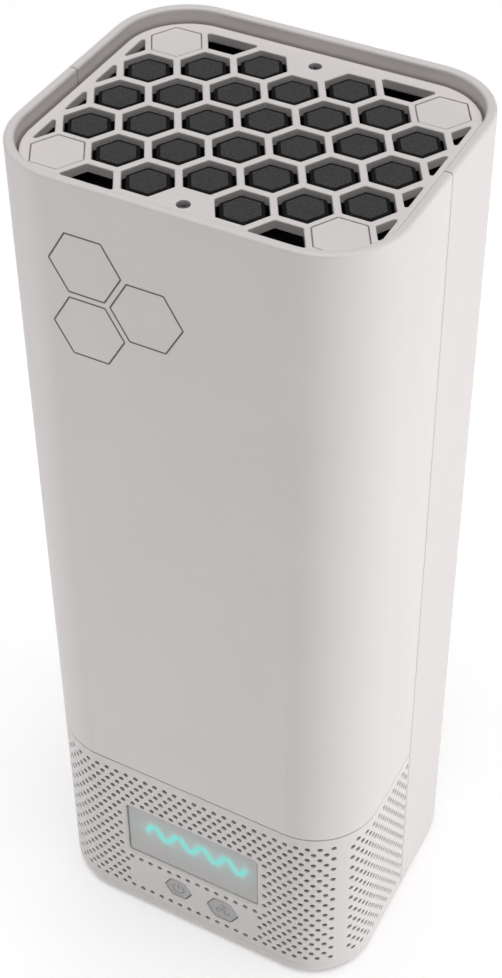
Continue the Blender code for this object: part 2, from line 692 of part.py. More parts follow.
def make_fan_moving(finishes):
    """Rotor, shaft and magnet ring, which turn about the tower's middle axis."""
    middle = FAN_BOTTOM + 0.0140
    top, bottom = 0.0098, -0.0096            # from the rotor's own middle
    bore, boss, shell = SHAFT_RADIUS + GAP, 0.0032, HUB_RADIUS - 0.0019
    hub = [(bore, top), (HUB_RADIUS - 0.001, top), (HUB_RADIUS, top - 0.001), (HUB_RADIUS, bottom),
           (shell, bottom), (shell, top - 0.002), (boss, top - 0.002), (boss, top - 0.0048),
           (bore, top - 0.0048)]
    rotor = add_object("fan_rotor", turned_mesh("fan_rotor", hub, 28), finishes["inner"], (0, 0, middle))
    weld(rotor, add_object("fan_blades", blades_mesh(), place=(0, 0, middle)))
    low, high = bottom - 0.0006, top - 0.0002
    shaft = [(0, low), (SHAFT_RADIUS, low), (SHAFT_RADIUS, high), (0, high)]
    add_object("fan_shaft", turned_mesh("fan_shaft", shaft, 16), finishes["steel"], (0, 0, middle))
    inner, outer, low, high = 0.0124, shell - GAP, bottom + 0.001, top - 0.004
    ring = [(inner, low), (outer, low), (outer, high), (inner, high)]
    add_object("fan_magnet_ring", turned_mesh("fan_magnet_ring", ring), finishes["inner"], (0, 0, middle))


def stator_outline():
    """Four T-shaped poles around a core."""
    core, neck, tip = 0.0065, 0.0095, 0.0118
    shoe, half_shoe, neck_turn, core_turn = 0.60, 0.30, 0.17, 0.25
    pole_points = ((core, -core_turn), (neck, -neck_turn), (neck, -shoe), (tip, -shoe), (tip, -half_shoe),
                   (tip, 0.0), (tip, half_shoe), (tip, shoe), (neck, shoe), (neck, neck_turn),
                   (core, core_turn), (core, math.pi / 4))
    outline = []
    for pole in range(4):
        for radius, angle in pole_points:
            turned = math.pi / 2 * pole + angle
            outline.append((radius * math.cos(turned), radius * math.sin(turned)))
    return outline


def make_motor(finishes):
    low = FAN_BOTTOM + MOTOR_MOUNT
    inner, outer, bottom, top = SHAFT_RADIUS + GAP, 0.0040, low + GAP, low + 0.0145
    bearing = [(inner, bottom), (outer, bottom), (outer, top), (inner, top)]
    add_object("fan_bearing", turned_mesh("fan_bearing", bearing, 16), finishes["copper"])
    stator = add_prisms("fan_stator", [stator_outline()], low + 0.0030, low + 0.0130, finishes["copper"])
    cut(stator, add_prisms("stator_bore", [circle(0, 0, outer + GAP)], low, top + PAST))


def make_filter_duct(finish):
    outer, inner = DUCT_INSET, DUCT_INSET + DUCT_WALL
    ledge = inner + 0.0050
    profile = [(outer, DUCT_BOTTOM), (outer, DUCT_TOP), (inner, DUCT_TOP), (inner, FILTER_LEDGE),
               (ledge, FILTER_LEDGE), (ledge, FILTER_LEDGE - 0.002), (inner, FILTER_LEDGE - 0.006),
               (inner, DUCT_BOTTOM)]
    duct = add_object("filter_duct", swept_mesh("filter_duct", full_path(), profile, True), finish)
    boss_low = DUCT_TOP - 0.0080
    step = 0.0001                                # keeps joined faces out of each other's plane
    weld(duct,
         add_prisms("duct_flange", [body_outline(DUCT_INSET + DUCT_WALL / 2)], DUCT_BOTTOM + GAP, FLANGE_TOP),
         add_prisms("corner_bosses", corner_circles(POST_X, POST_Y, 0.0036, 16), boss_low, DUCT_TOP - step))
    rib_low, rib_high = boss_low + 5 * step, DUCT_TOP - 4 * step
    for number, (sx, sy) in enumerate(CORNERS, 1):
        rib = add_prisms(f"corner_rib_{number}", [rectangle(0.0050, 0, 0.0050, 0.0008)], rib_low, rib_high,
                         place=(sx * POST_X, sy * POST_Y, 0))
        rib.rotation_euler = (0, 0, math.atan2(sy, sx))
        weld(duct, rib)
    middle_bosses = [circle(0, side * MID_SCREW_Y, 0.0034) for side in (-1, 1)]
    ribs = [rectangle(0, side * (MID_SCREW_Y + 0.0030), 0.0012, 0.0026) for side in (-1, 1)]
    weld(duct, add_prisms("middle_bosses", middle_bosses, boss_low, TOP_TAB),
         add_prisms("middle_ribs", ribs, rib_low, rib_high))
    corner_bores = corner_circles(POST_X, POST_Y, SCREW_RADIUS + GAP, 12)
    middle_bores = [circle(0, side * MID_SCREW_Y, SMALL_SCREW_RADIUS + GAP, 12) for side in (-1, 1)]
    low, high = DUCT_BOTTOM - PAST, FLANGE_TOP + PAST
    cut(duct,
        add_prisms("duct_opening", [circle(0, 0, FAN_BORE - 0.0005, 32)], low, high),
        add_prisms("duct_holes", fan_screw_holes(), low, high),
        add_prisms("corner_bores", corner_bores, boss_low - PAST, DUCT_TOP + PAST),
        add_prisms("middle_bores", middle_bores, boss_low - PAST, TOP_TAB + PAST))


# ---- filter -------------------------------------------------------------------------------------
def make_filter_frame(finishes):
    outer, inner, lip = FILTER_INSET, FILTER_INSET + 0.0020, FILTER_INSET + 0.0050
    ledge = FILTER_BOTTOM + 0.0018
    frame = [(outer, FILTER_BOTTOM), (outer, FILTER_TOP), (inner, FILTER_TOP), (inner, ledge), (lip, ledge),
             (lip, FILTER_BOTTOM)]
    add_object("filter_frame", swept_mesh("filter_frame", full_path(), frame, True), finishes["inner"])
    low, high = FILTER_LEDGE + GAP, FILTER_BOTTOM - GAP
    seal = [(outer + 0.0002, low), (outer + 0.0002, high), (lip - 0.0005, high), (lip - 0.0005, low)]
    add_object("filter_gasket", swept_mesh("filter_gasket", full_path(), seal, True), finishes["foam"])


def half_depth_at(x, inset):
    """Half depth of the body's plan, inset, at a distance x from the middle."""
    half_x, half_y = BODY_WIDTH / 2 - inset, BODY_DEPTH / 2 - inset
    radius = CORNER_RADIUS - inset
    over = max(0.0, abs(x) - (half_x - radius))
    return half_y - radius + math.sqrt(max(0.0, radius ** 2 - over ** 2))


def make_filter_media(finish):
    """One sheet folded into deep pleats, whose folds run along Y between the frame's walls."""
    inset = FILTER_INSET + 0.0024
    half_x = BODY_WIDTH / 2 - inset - 0.0012
    low, high = FILTER_BOTTOM + 0.0022, FILTER_TOP - 0.0010
    work = bmesh.new()
    rows = []
    for fold in range(2 * PLEAT_COUNT + 1):
        x = -half_x + (2 * half_x - MEDIA_THICKNESS) * fold / (2 * PLEAT_COUNT)
        half_y = half_depth_at(abs(x) + MEDIA_THICKNESS, inset)
        z = high if fold % 2 else low
        corners = rectangle(x + MEDIA_THICKNESS / 2, 0, MEDIA_THICKNESS / 2, half_y)
        rows.append([work.verts.new((*corner, z)) for corner in corners])
    work.faces.new(rows[0])
    work.faces.new(rows[-1])
    for one, two in zip(rows, rows[1:]):
        for i in range(4):
            j = (i + 1) % 4
            work.faces.new((one[i], one[j], two[j], two[i]))
    add_object("filter_media", closed_mesh("filter_media", work), finish)


# ---- electronics --------------------------------------------------------------------------------
def make_control_board(finish):
    """Upright board at the back, with its connector and two capacitors on the rear face."""
    rear_face = CONTROL_BOARD_Y + BOARD_THICKNESS
    outline = rectangle(0, 0.0375, BOARD_POST_X + 0.0030, 0.0285)
    board = add_prisms("control_board", [outline], -rear_face, -CONTROL_BOARD_Y, finish, facing=OUT)
    root = -rear_face + 0.0005
    connector = rectangle(LEAD_X, 0.0560, 0.0040, 0.0028)
    capacitors = [circle(-0.0200, z, 0.0032, 12) for z in (0.0400, 0.0490)]
    weld(board, add_prisms("connector", [connector], -rear_face - 0.0050, root, facing=OUT),
         add_prisms("capacitors", capacitors, -rear_face - 0.0080, root, facing=OUT))
    cut(board, add_prisms("control_board_holes", board_holes(), -rear_face - PAST, PAST - CONTROL_BOARD_Y,
                          facing=OUT))


def make_power_socket(finishes):
    """Round low-voltage socket on the control board, open through the rear cover."""
    board_side = CONTROL_BOARD_Y + BOARD_THICKNESS + GAP
    shoulder = INNER_REAR - GAP
    mouth = REAR - 0.0004
    place, steps, half, pin_radius = (0, 0, SOCKET_Z), 8, 0.0055, 0.00105
    socket = add_prisms("power_socket", [rectangle(0, 0, half, half)], -shoulder, -board_side,
                        finishes["inner"], place, OUT)
    nose = circle(0, 0, SOCKET_NOSE, steps)
    weld(socket, add_prisms("socket_nose", [nose], -mouth, -shoulder + 0.001, None, place, OUT))
    bore = circle(0, 0, SOCKET_BORE, steps)
    cut(socket, add_prisms("socket_bore", [bore], -mouth - PAST, -mouth + 0.0095, None, place, OUT))
    pin = circle(0, 0, pin_radius, steps)
    weld(socket, add_prisms("socket_pin", [pin], -mouth + 0.0012, -mouth + 0.0105, None, place, OUT))


def make_lead(name, points, radius, finish):
    """Lead clipped inside the casing: a thin tube through a smooth run of points."""
    curve = bpy.data.curves.new(name, "CURVE")
    curve.dimensions = "3D"
    curve.bevel_depth = radius
    curve.bevel_resolution = 2
    curve.use_fill_caps = True
    spline = curve.splines.new("POLY")
    spline.points.add(len(points) - 1)
    for point, place in zip(spline.points, points):
        point.co = (*place, 1.0)
    curve.materials.append(finish)
    lead = bpy.data.objects.new(name, curve)
    bpy.context.scene.collection.objects.link(lead)


def s_run(start, end, steps=12):
    """Points that leave start and reach end along Z, easing over in X and Y between them."""
    points = []
    for step in range(steps + 1):
        t = step / steps
        ease = t * t * (3 - 2 * t)
        x, y = (start[axis] + (end[axis] - start[axis]) * ease for axis in range(2))
        points.append((x, y, start[2] + (end[2] - start[2]) * t))
    return points


def make_fan_lead(finish):
    """From the control board's connector up the rear, past the deck, to the fan."""
    radius, run_y, bend_top, rise = 0.0010, 0.0414, 0.0740, 0.0035
    start = (LEAD_X, CONTROL_BOARD_Y + BOARD_THICKNESS + 0.0030, 0.0592)
    points = s_run(start, (LEAD_X, run_y, bend_top))
    points += [(LEAD_X, run_y, bend_top + rise * i) for i in range(1, 5)]
    make_lead("fan_lead", points, radius, finish)


def main():
    for old in list(bpy.data.objects):
        bpy.data.objects.remove(old)
    finishes = make_materials()
    casing = finishes["casing"]
    make_front_cover(casing)
    make_rear_cover(casing)
    make_intake_band(casing)
    make_intake_mesh(finishes["foam"])
    make_base_plate(finishes["inner"])
    make_feet(finishes["rubber"])
    make_screws(finishes["steel"])
    make_outlet_grille(casing)
    make_corner_plugs(casing)
    make_carbon_filter(finishes["foam"])
    make_display(finishes)
    make_display_board(finishes["board"])
    make_key("power", POWER_KEY, finishes)
    make_key("fan_speed", FAN_KEY, finishes)
    make_lower_frame(finishes["inner"])
    make_fan_housing(finishes["inner"])
    make_fan_moving(finishes)
    make_motor(finishes)
    make_filter_duct(finishes["inner"])
    make_filter_frame(finishes)
    make_filter_media(finishes["media"])
    make_control_board(finishes["board"])
    make_power_socket(finishes)
    make_fan_lead(finishes["rubber"])


main()
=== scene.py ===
"""Looks of a desktop air purifier tower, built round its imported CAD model.

Metres, +Z up. The display faces -Y and the honeycomb outlet is on top. Each piece stands where its CAD
node stands, and is either a finer mesh that replaces the node or the node itself with a full material.
"""
import json
import math

import bmesh
import bpy
from mathutils import Matrix, Vector
from mathutils.geometry import tessellate_polygon


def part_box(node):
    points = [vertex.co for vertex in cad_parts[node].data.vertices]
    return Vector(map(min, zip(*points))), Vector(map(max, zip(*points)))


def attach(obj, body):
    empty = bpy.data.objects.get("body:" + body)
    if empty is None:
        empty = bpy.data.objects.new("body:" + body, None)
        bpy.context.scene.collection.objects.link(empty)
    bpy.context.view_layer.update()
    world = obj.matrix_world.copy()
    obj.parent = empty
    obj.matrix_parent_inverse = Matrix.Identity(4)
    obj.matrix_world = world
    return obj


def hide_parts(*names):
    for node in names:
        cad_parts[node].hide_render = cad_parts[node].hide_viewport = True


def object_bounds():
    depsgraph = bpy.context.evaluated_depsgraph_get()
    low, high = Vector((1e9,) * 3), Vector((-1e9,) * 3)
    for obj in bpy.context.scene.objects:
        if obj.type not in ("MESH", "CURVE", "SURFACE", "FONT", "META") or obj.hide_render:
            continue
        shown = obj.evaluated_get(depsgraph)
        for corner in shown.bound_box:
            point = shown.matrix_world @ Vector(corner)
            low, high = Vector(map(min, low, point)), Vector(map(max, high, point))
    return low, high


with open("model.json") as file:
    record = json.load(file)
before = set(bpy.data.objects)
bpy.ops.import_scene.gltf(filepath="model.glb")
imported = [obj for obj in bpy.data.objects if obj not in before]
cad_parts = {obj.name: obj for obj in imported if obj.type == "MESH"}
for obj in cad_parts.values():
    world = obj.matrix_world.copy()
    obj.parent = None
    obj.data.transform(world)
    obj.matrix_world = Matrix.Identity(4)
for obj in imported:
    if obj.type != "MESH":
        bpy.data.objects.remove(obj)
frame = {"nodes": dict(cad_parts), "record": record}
cad_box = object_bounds()

# ---- sizes taken from the frame ----------
HALF_X, HALF_Y, TOP = cad_box[1]
FRONT = -HALF_Y
BAND_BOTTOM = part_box("intake_band")[0].z
LIP_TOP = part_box("intake_band")[1].z
COVER_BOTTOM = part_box("front_cover")[0].z
GRILLE_BOTTOM, GRILLE_TOP = (corner.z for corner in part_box("outlet_grille"))
LENS_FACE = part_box("display_window")[0].y
LENS_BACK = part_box("display_window")[1].y
KEY_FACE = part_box("power_key")[0].y
KEY_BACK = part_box("power_key")[1].y
FILTER_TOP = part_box("carbon_filter")[1].z

# ---- shape sizes, the CAD model's own ----------
CORNER_RADIUS = 0.0215
WALL = 0.0028
SEAM = 0.0004
GAP = 0.0003
BAND_TOP = COVER_BOTTOM - SEAM
FOOT_EDGE = (0.0018, 0.0030)         # rounding of the casing's foot: inward, upward
RIM_EDGE = 0.0009
CELL_PITCH = 0.0150
WEB = 0.0020
GRILLE_GAP = 0.0007
GRILLE_FRAME = (0.0480, 0.03825)     # the cells end at these half sizes
PLUG_FLATS = 0.0132
POST = (1.5 * CELL_PITCH * math.sqrt(3), 2 * CELL_PITCH)
MID_SCREW_Y = 0.0355
FILTER_PANEL_TOP = GRILLE_BOTTOM - 0.0010
PLUG_POCKET = (0.0006, 0.0016)       # corner radius and depth of the grille's recess for a plug
SCREW_POCKET = (0.0018, 0.0015)      # radius and depth of its recess for a screw's head
PAD_FLATS = 0.0110
WINDOW_HALF = (0.0237, 0.0120)
WINDOW_Z = 0.0400
WINDOW_RADIUS = 0.0016
KEYS = {"power": (-0.0056, 0.0179, 0.0084), "fan_speed": (0.0108, 0.0172, 0.0098)}   # x, z, across flats
KEY_CORNER = 0.0013
KEY_FLANGE = (0.0026, 0.0012)        # wider than the key by this across flats, and its thickness
BAND_LIP = (0.0015, 0.0011)          # the lip's inner face behind the wall's, its root above the lattice
SOCKET_Z = 0.0190
SOCKET_HOLE = (0.0052, 0.0004)       # radius and chamfer

# ---- finer sizes that only the looks need ----------
SKIN = 0.00003                       # prints, icons and the wave stand this far out of their surface
SOFT = 0.00025                       # rounding of the parting edges
ARC_STEPS = 24                       # facets of a quarter round corner of the casing
SHARP_ANGLE = 40                     # degrees; steeper edges aren't smoothed in shading
HOLE_PITCH = 0.0035                  # of the intake holes in one row
ROW_PITCH = 0.002636
FIRST_ROW_Z = 0.0672
ROW_COUNT = 23
HOLE_RADIUS = 0.00088
HOLE_CHAMFER = 0.00009
HOLE_SKIN = 0.0005                   # wall left at a hole, which is wider behind it
HOLE_RELIEF = 0.00120                # radius of the wider part
HOLE_SIDES = 12
FRONT_HALF_STEPS = 28                # half pitches from the middle to the last hole column's edge
SIDE_HALF_STEPS = 21
WINDOW_ROWS = (6, 16)                # lattice rows left out for the window, first and past the last
WINDOW_STEPS = 14
KEY_ROWS = (17, 22)
KEY_STEPS = 13
CREASE_Z = 0.0060                    # shallow line above the foot
CREASE = (0.00010, 0.00022)          # its depth and half width
WINDOW_BEVEL = ((0.00062, 0.0), (0.00042, 0.00004), (0.00020, 0.00016), (0.00005, 0.00036),
                (0.0, 0.0006), (0.0, WALL))   # outward and inward distance round the window's opening
LENS_EDGE = 0.0006
KEY_EDGE = 0.0004
KEY_HOLE_EDGE = 0.00018
ICON_SIZE = 0.24                     # radius of a key's icon, as a share of the key's flats
ICON_WIDTH = 0.00042
PRINT_PLACE = (-0.0230, 0.2665)      # the highest of three printed cells, x and z
PRINT_PITCH = 0.0198
PRINT_FLATS = 0.0180
PRINT_CORNER = 0.0004
PRINT_WIDTH = 0.00045
CELL_CORNER = 0.0005
CELL_EDGE = 0.0004
PLUG_CORNER = 0.0005
PLUG_EDGE = 0.00035
PAD_CORNER = 0.0009
PAD_EDGE = 0.0004
PAD_PROUD = 0.00015                  # the foam stands this far out of its tray
FOAM_FLATS = 0.0090
WAVE = {"start": -0.0160, "end": 0.0190, "z": 0.0428, "height": 0.0024, "length": 0.00875, "width": 0.0018}
GLOW_REACH = (0.0028, 0.0095)        # of the line's own glow, and of the light round the whole wave

# ---- stage: light, floor and camera ----------
FLOOR_HALF = 30.0
FLOOR_GLOW = 0.235
WORLD_LIGHT = 0.087                  # strengths: as a light, and as seen by the camera
WORLD_BACKDROP = 0.95
SUN = {"direction": (0.04, 0.0, 1.0), "strength": 2.5, "spread": 58}
CARDS = {"right_card": {"place": (1.1, 0.10, 0.13), "size": (0.5, 0.25), "power": 4.5},
         "left_card": {"place": (-0.25, -0.13, 0.135), "size": (0.10, 0.26), "power": 0.095}}
CAMERA_PLACE = (0.18556, -0.34934, 0.54234)
CAMERA_TURN = (50.444, 0.411, 27.772)   # degrees
CAMERA_LENS = 68.54                  # mm, on a 36 mm sensor
CAMERA_SHIFT_Y = -0.142

CORNERS = ((-1, -1), (1, -1), (1, 1), (-1, 1))
OUTWARD = Matrix.Rotation(math.pi / 2, 4, "X")   # local +Z to world -Y, local +Y to world +Z


# ---- outlines, in a plane, counter-clockwise ----------
def circle(x, y, radius, steps=32):
    turn = [2 * math.pi * i / steps for i in range(steps)]
    return [Vector((x + radius * math.cos(a), y + radius * math.sin(a))) for a in turn]


def hexagon(x, y, flats):
    return circle(x, y, flats / math.sqrt(3), 6)


def quarter_round(steps):
    """Shares of a quarter round's radius as (back from the wall, along it), from the flat to the wall."""
    turns = [math.pi / 2 * step / steps for step in range(steps + 1)]
    return [(1 - math.sin(a), 1 - math.cos(a)) for a in turns]


def rounded(outline, radius, steps=4):
    """The outline with each corner turned into an arc."""
    points = []
    for i, corner in enumerate(outline):
        before = (outline[i - 1] - corner).normalized()
        after = (outline[(i + 1) % len(outline)] - corner).normalized()
        half = before.angle(after) / 2
        centre = corner + (before + after).normalized() * (radius / math.sin(half))
        start = corner + before * (radius / math.tan(half)) - centre
        for step in range(steps + 1):
            a = (math.pi - 2 * half) * step / steps
            points.append(centre + Matrix.Rotation(a, 2) @ start)
    return points


def rounded_rectangle(half_x, half_y, radius, steps, middle=(0, 0)):
    corners = [Vector((middle[0] + sx * half_x, middle[1] + sy * half_y)) for sx, sy in CORNERS]
    return rounded(corners, radius, steps)


def body_outline(inset):
    return rounded_rectangle(HALF_X - inset, HALF_Y - inset, CORNER_RADIUS - inset, ARC_STEPS)


def offset(outline, distance):
    """The outline moved outwards by a distance, its corners mitred."""
    moved = []
    for i, point in enumerate(outline):
        into = (point - outline[i - 1]).normalized()
        out = (outline[(i + 1) % len(outline)] - point).normalized()
        first, second = Vector((into.y, -into.x)), Vector((out.y, -out.x))
        moved.append(point + (first + second) * (distance / (1 + first.dot(second))))
    return moved


def clipped(outline, axis, limit):
    """The part of a convex outline where the coordinate on that axis stays within +-limit."""
    for sign in (1, -1):
        kept = []
        for i, point in enumerate(outline):
            following = outline[(i + 1) % len(outline)]
            inside, inside_next = sign * point[axis] <= limit, sign * following[axis] <= limit
            if inside:
                kept.append(point)
            if inside != inside_next:
                share = (sign * limit - point[axis]) / (following[axis] - point[axis])
                kept.append(point.lerp(following, share))
        outline = kept
    return outline


def stroke(points, width, cap_steps=6):
    """Outline of a line of even width with round ends."""
    half = width / 2
    sides = []
    for i, point in enumerate(points):
        along = (points[min(i + 1, len(points) - 1)] - points[max(i - 1, 0)]).normalized()
        sides.append(Vector((-along.y, along.x)) * half)
    right = [point - side for point, side in zip(points, sides)]
    left = [point + side for point, side in zip(points, sides)]
    caps = []
    for end, side in ((points[-1], -sides[-1]), (points[0], sides[0])):
        caps.append([end + Matrix.Rotation(math.pi * i / cap_steps, 2) @ side for i in range(1, cap_steps)])
    return right + caps[0] + left[::-1] + caps[1]


# ---- mesh building ----------
def bridge(work, one, two):
    for i in range(len(one)):
        j = (i + 1) % len(one)
        work.faces.new((one[i], one[j], two[j], two[i]))


def bridge_all(work, rings):
    for one, two in zip(rings, rings[1:]):
        bridge(work, one, two)


def fill(work, loops, axes=(0, 1)):
    """Triangles between an outer loop of vertices and the loops of its holes, all in one plane."""
    flat = [[Vector((vert.co[axes[0]], vert.co[axes[1]], 0)) for vert in loop] for loop in loops]
    verts = [vert for loop in loops for vert in loop]
    for triangle in tessellate_polygon(flat):
        work.faces.new([verts[i] for i in triangle])


def ring(work, outline, z):
    return [work.verts.new((point.x, point.y, z)) for point in outline]


def edge_rings(work, outline, high, edge, sign, steps):
    """Rings of a rounded upper edge, from the flat top down to the upright wall."""
    if edge == 0:
        return [ring(work, outline, high)]
    return [ring(work, offset(outline, sign * edge * back), high - edge * down)
            for back, down in quarter_round(steps)]


def add_plate(work, outer, low, high, edge=0.0, holes=(), pockets=(), steps=3):
    """Plate with rounded upper edges, through holes, and pockets given as (outline, depth)."""
    tops, bottoms = [], []
    for outline, sign in [(outer, -1)] + [(hole, 1) for hole in holes]:
        rings = edge_rings(work, outline, high, edge, sign, steps) + [ring(work, outline, low)]
        bridge_all(work, rings)
        tops.append(rings[0])
        bottoms.append(rings[-1])
    for outline, depth in pockets:
        rings = edge_rings(work, outline, high, edge / 3, 1, steps) + [ring(work, outline, high - depth)]
        bridge_all(work, rings)
        tops.append(rings[0])
        work.faces.new(rings[-1])
    fill(work, tops)
    fill(work, bottoms)


def piece(name, work, material, place=None):
    """Object of a finished bmesh, with faces pointing out and flat faces that stay flat in shading."""
    bmesh.ops.remove_doubles(work, verts=work.verts, dist=1e-7)
    bmesh.ops.recalc_face_normals(work, faces=work.faces)
    if place:
        bmesh.ops.transform(work, matrix=place, verts=work.verts)
    mesh = bpy.data.meshes.new(name)
    work.to_mesh(mesh)
    work.free()
    mesh.shade_smooth()
    mesh.set_sharp_from_angle(angle=math.radians(SHARP_ANGLE))
    mesh.materials.append(material)
    made = bpy.data.objects.new(name, mesh)
    bpy.context.scene.collection.objects.link(made)
    weighted = made.modifiers.new("flat_faces", "WEIGHTED_NORMAL")
    weighted.keep_sharp = True
    return made


def settle(made, body, slot=None, *nodes):
    """A finished piece goes to its body and stands for CAD nodes, which it hides; the slot is not used."""
    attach(made, body)
    if nodes:
        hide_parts(*nodes)


def turned(work, profile, steps, centre=(0, 0)):
    """Profile of (radius, z) turned about an upright axis, from axis to axis."""
    rings = []
    for radius, z in profile:
        if radius == 0:
            rings.append([work.verts.new((*centre, z))] * steps)
        else:
            rings.append(ring(work, circle(*centre, radius, steps), z))
    for one, two in zip(rings, rings[1:]):
        for i in range(steps):
            j = (i + 1) % steps
            corners = []
            for vert in (one[i], one[j], two[j], two[i]):
                if vert not in corners:
                    corners.append(vert)
            if len(corners) > 2:
                work.faces.new(corners)


# ---- casing shells ----------
def corner_point(sign_x, sign_y, angle):
    """Point and outward normal on a corner of the plan; the angle runs from the side to the front or rear."""
    normal = Vector((sign_x * math.cos(angle), sign_y * math.sin(angle)))
    centre = Vector((sign_x * (HALF_X - CORNER_RADIUS), sign_y * (HALF_Y - CORNER_RADIUS)))
    return centre + normal * CORNER_RADIUS, normal


def half_path(side, least=0.0):
    """Plan of one half of the casing, from the right seam to the left: (point, normal, rounding)."""
    path = []
    for sign in (1, -1):
        run = []
        for back, along in quarter_round(3):
            y = side * (SEAM / 2 + SOFT * along)
            run.append((Vector((sign * HALF_X, y)), Vector((sign, 0)), max(least, SOFT * back)))
        for step in range(ARC_STEPS + 1):
            run.append((*corner_point(sign, side, math.pi / 2 * step / ARC_STEPS), least))
        path += run if sign > 0 else run[::-1]
    return path


def sweep(work, path, profile):
    """Closed profile of (inset, z) carried along an open path, with its ends filled."""
    rows = []
    for point, normal, rounding in path:
        row = []
        for inset, z in profile:
            spot = point - normal * max(inset, rounding)
            row.append(work.verts.new((spot.x, spot.y, z)))
        rows.append(row)
    for one, two in zip(rows, rows[1:]):
        bridge(work, one, two)
    work.faces.new(rows[0])
    work.faces.new(rows[-1])


def rim_profile(steps=6):
    """Rounded upper edge of a cover, from outside to inside."""
    rising = [(RIM_EDGE * inward, TOP - RIM_EDGE * down) for down, inward in quarter_round(steps)]
    return rising + [(WALL - inset, z) for inset, z in reversed(rising)]


def foot_profile(steps=8):
    """Rounded foot of the casing with the crease above it, from the floor side up."""
    inward, upward = FOOT_EDGE
    depth, half = CREASE
    points = [(inward * back, BAND_BOTTOM + upward * up) for back, up in quarter_round(steps)]
    return points + [(0, CREASE_Z - half), (depth, CREASE_Z), (0, CREASE_Z + half)]


def make_front_cover(material):
    work = bmesh.new()
    bottom = [(SOFT * back, COVER_BOTTOM + SOFT * up) for back, up in quarter_round(3)]
    sweep(work, half_path(-1, SKIN), [(WALL, COVER_BOTTOM)] + bottom + rim_profile())
    cover = piece("front_cover_shell", work, material)
    settle(cover, "housing", "casing", "front_cover")


def make_rear_cover(material):
    work = bmesh.new()
    sweep(work, half_path(1), foot_profile() + rim_profile() + [(WALL, BAND_BOTTOM)])
    cover = piece("rear_cover_shell", work, material)
    cutter_work = bmesh.new()
    radius, chamfer = SOCKET_HOLE
    profile = [(0, -WALL * 2), (radius, -WALL * 2), (radius, -chamfer), (radius + 2 * chamfer, chamfer)]
    turned(cutter_work, profile + [(0, chamfer)], 48)
    to_rear = Matrix.Translation((0, HALF_Y, SOCKET_Z)) @ Matrix.Rotation(-math.pi / 2, 4, "X")
    cutter = piece("socket_hole", cutter_work, material, to_rear)
    cut = cover.modifiers.new("socket_hole", "BOOLEAN")
    cut.operation, cut.object = "DIFFERENCE", cutter
    cover.modifiers.move(1, 0)
    with bpy.context.temp_override(object=cover):
        bpy.ops.object.modifier_apply(modifier="socket_hole")
    bpy.data.objects.remove(cutter)
    settle(cover, "housing", "casing", "rear_cover")


# ---- intake band ----------
def front_spot(x):
    """Point and normal of the plan's front half at X."""
    over = abs(x) - (HALF_X - CORNER_RADIUS)
    if over <= 0:
        return Vector((x, FRONT)), Vector((0, -1))
    return corner_point(math.copysign(1, x), -1, math.acos(over / CORNER_RADIUS))


def side_spot(sign, y):
    """Point and normal of the plan's right (+1) or left (-1) side, ahead of the seam."""
    over = -y - (HALF_Y - CORNER_RADIUS)
    if over <= 0:
        return Vector((sign * HALF_X, y)), Vector((sign, 0))
    return corner_point(sign, -1, math.asin(over / CORNER_RADIUS))


def band_columns():
    """Lattice columns from the right seam to the left one, half a hole pitch apart on each face, as
    (point, normal, rounding)."""
    half = HOLE_PITCH / 2
    edge = SEAM / 2 + SOFT
    right = [side_spot(1, -max(edge, half * k)) for k in range(SIDE_HALF_STEPS + 1)]
    front = [front_spot(half * k) for k in range(FRONT_HALF_STEPS, -FRONT_HALF_STEPS - 1, -1)]
    left = [side_spot(-1, -max(edge, half * k)) for k in range(SIDE_HALF_STEPS, -1, -1)]
    columns = [(*spot, 0.0) for spot in right + front + left]
    columns.insert(0, (*side_spot(1, -SEAM / 2), SOFT))
    columns.append((*side_spot(-1, -SEAM / 2), SOFT))
    return columns


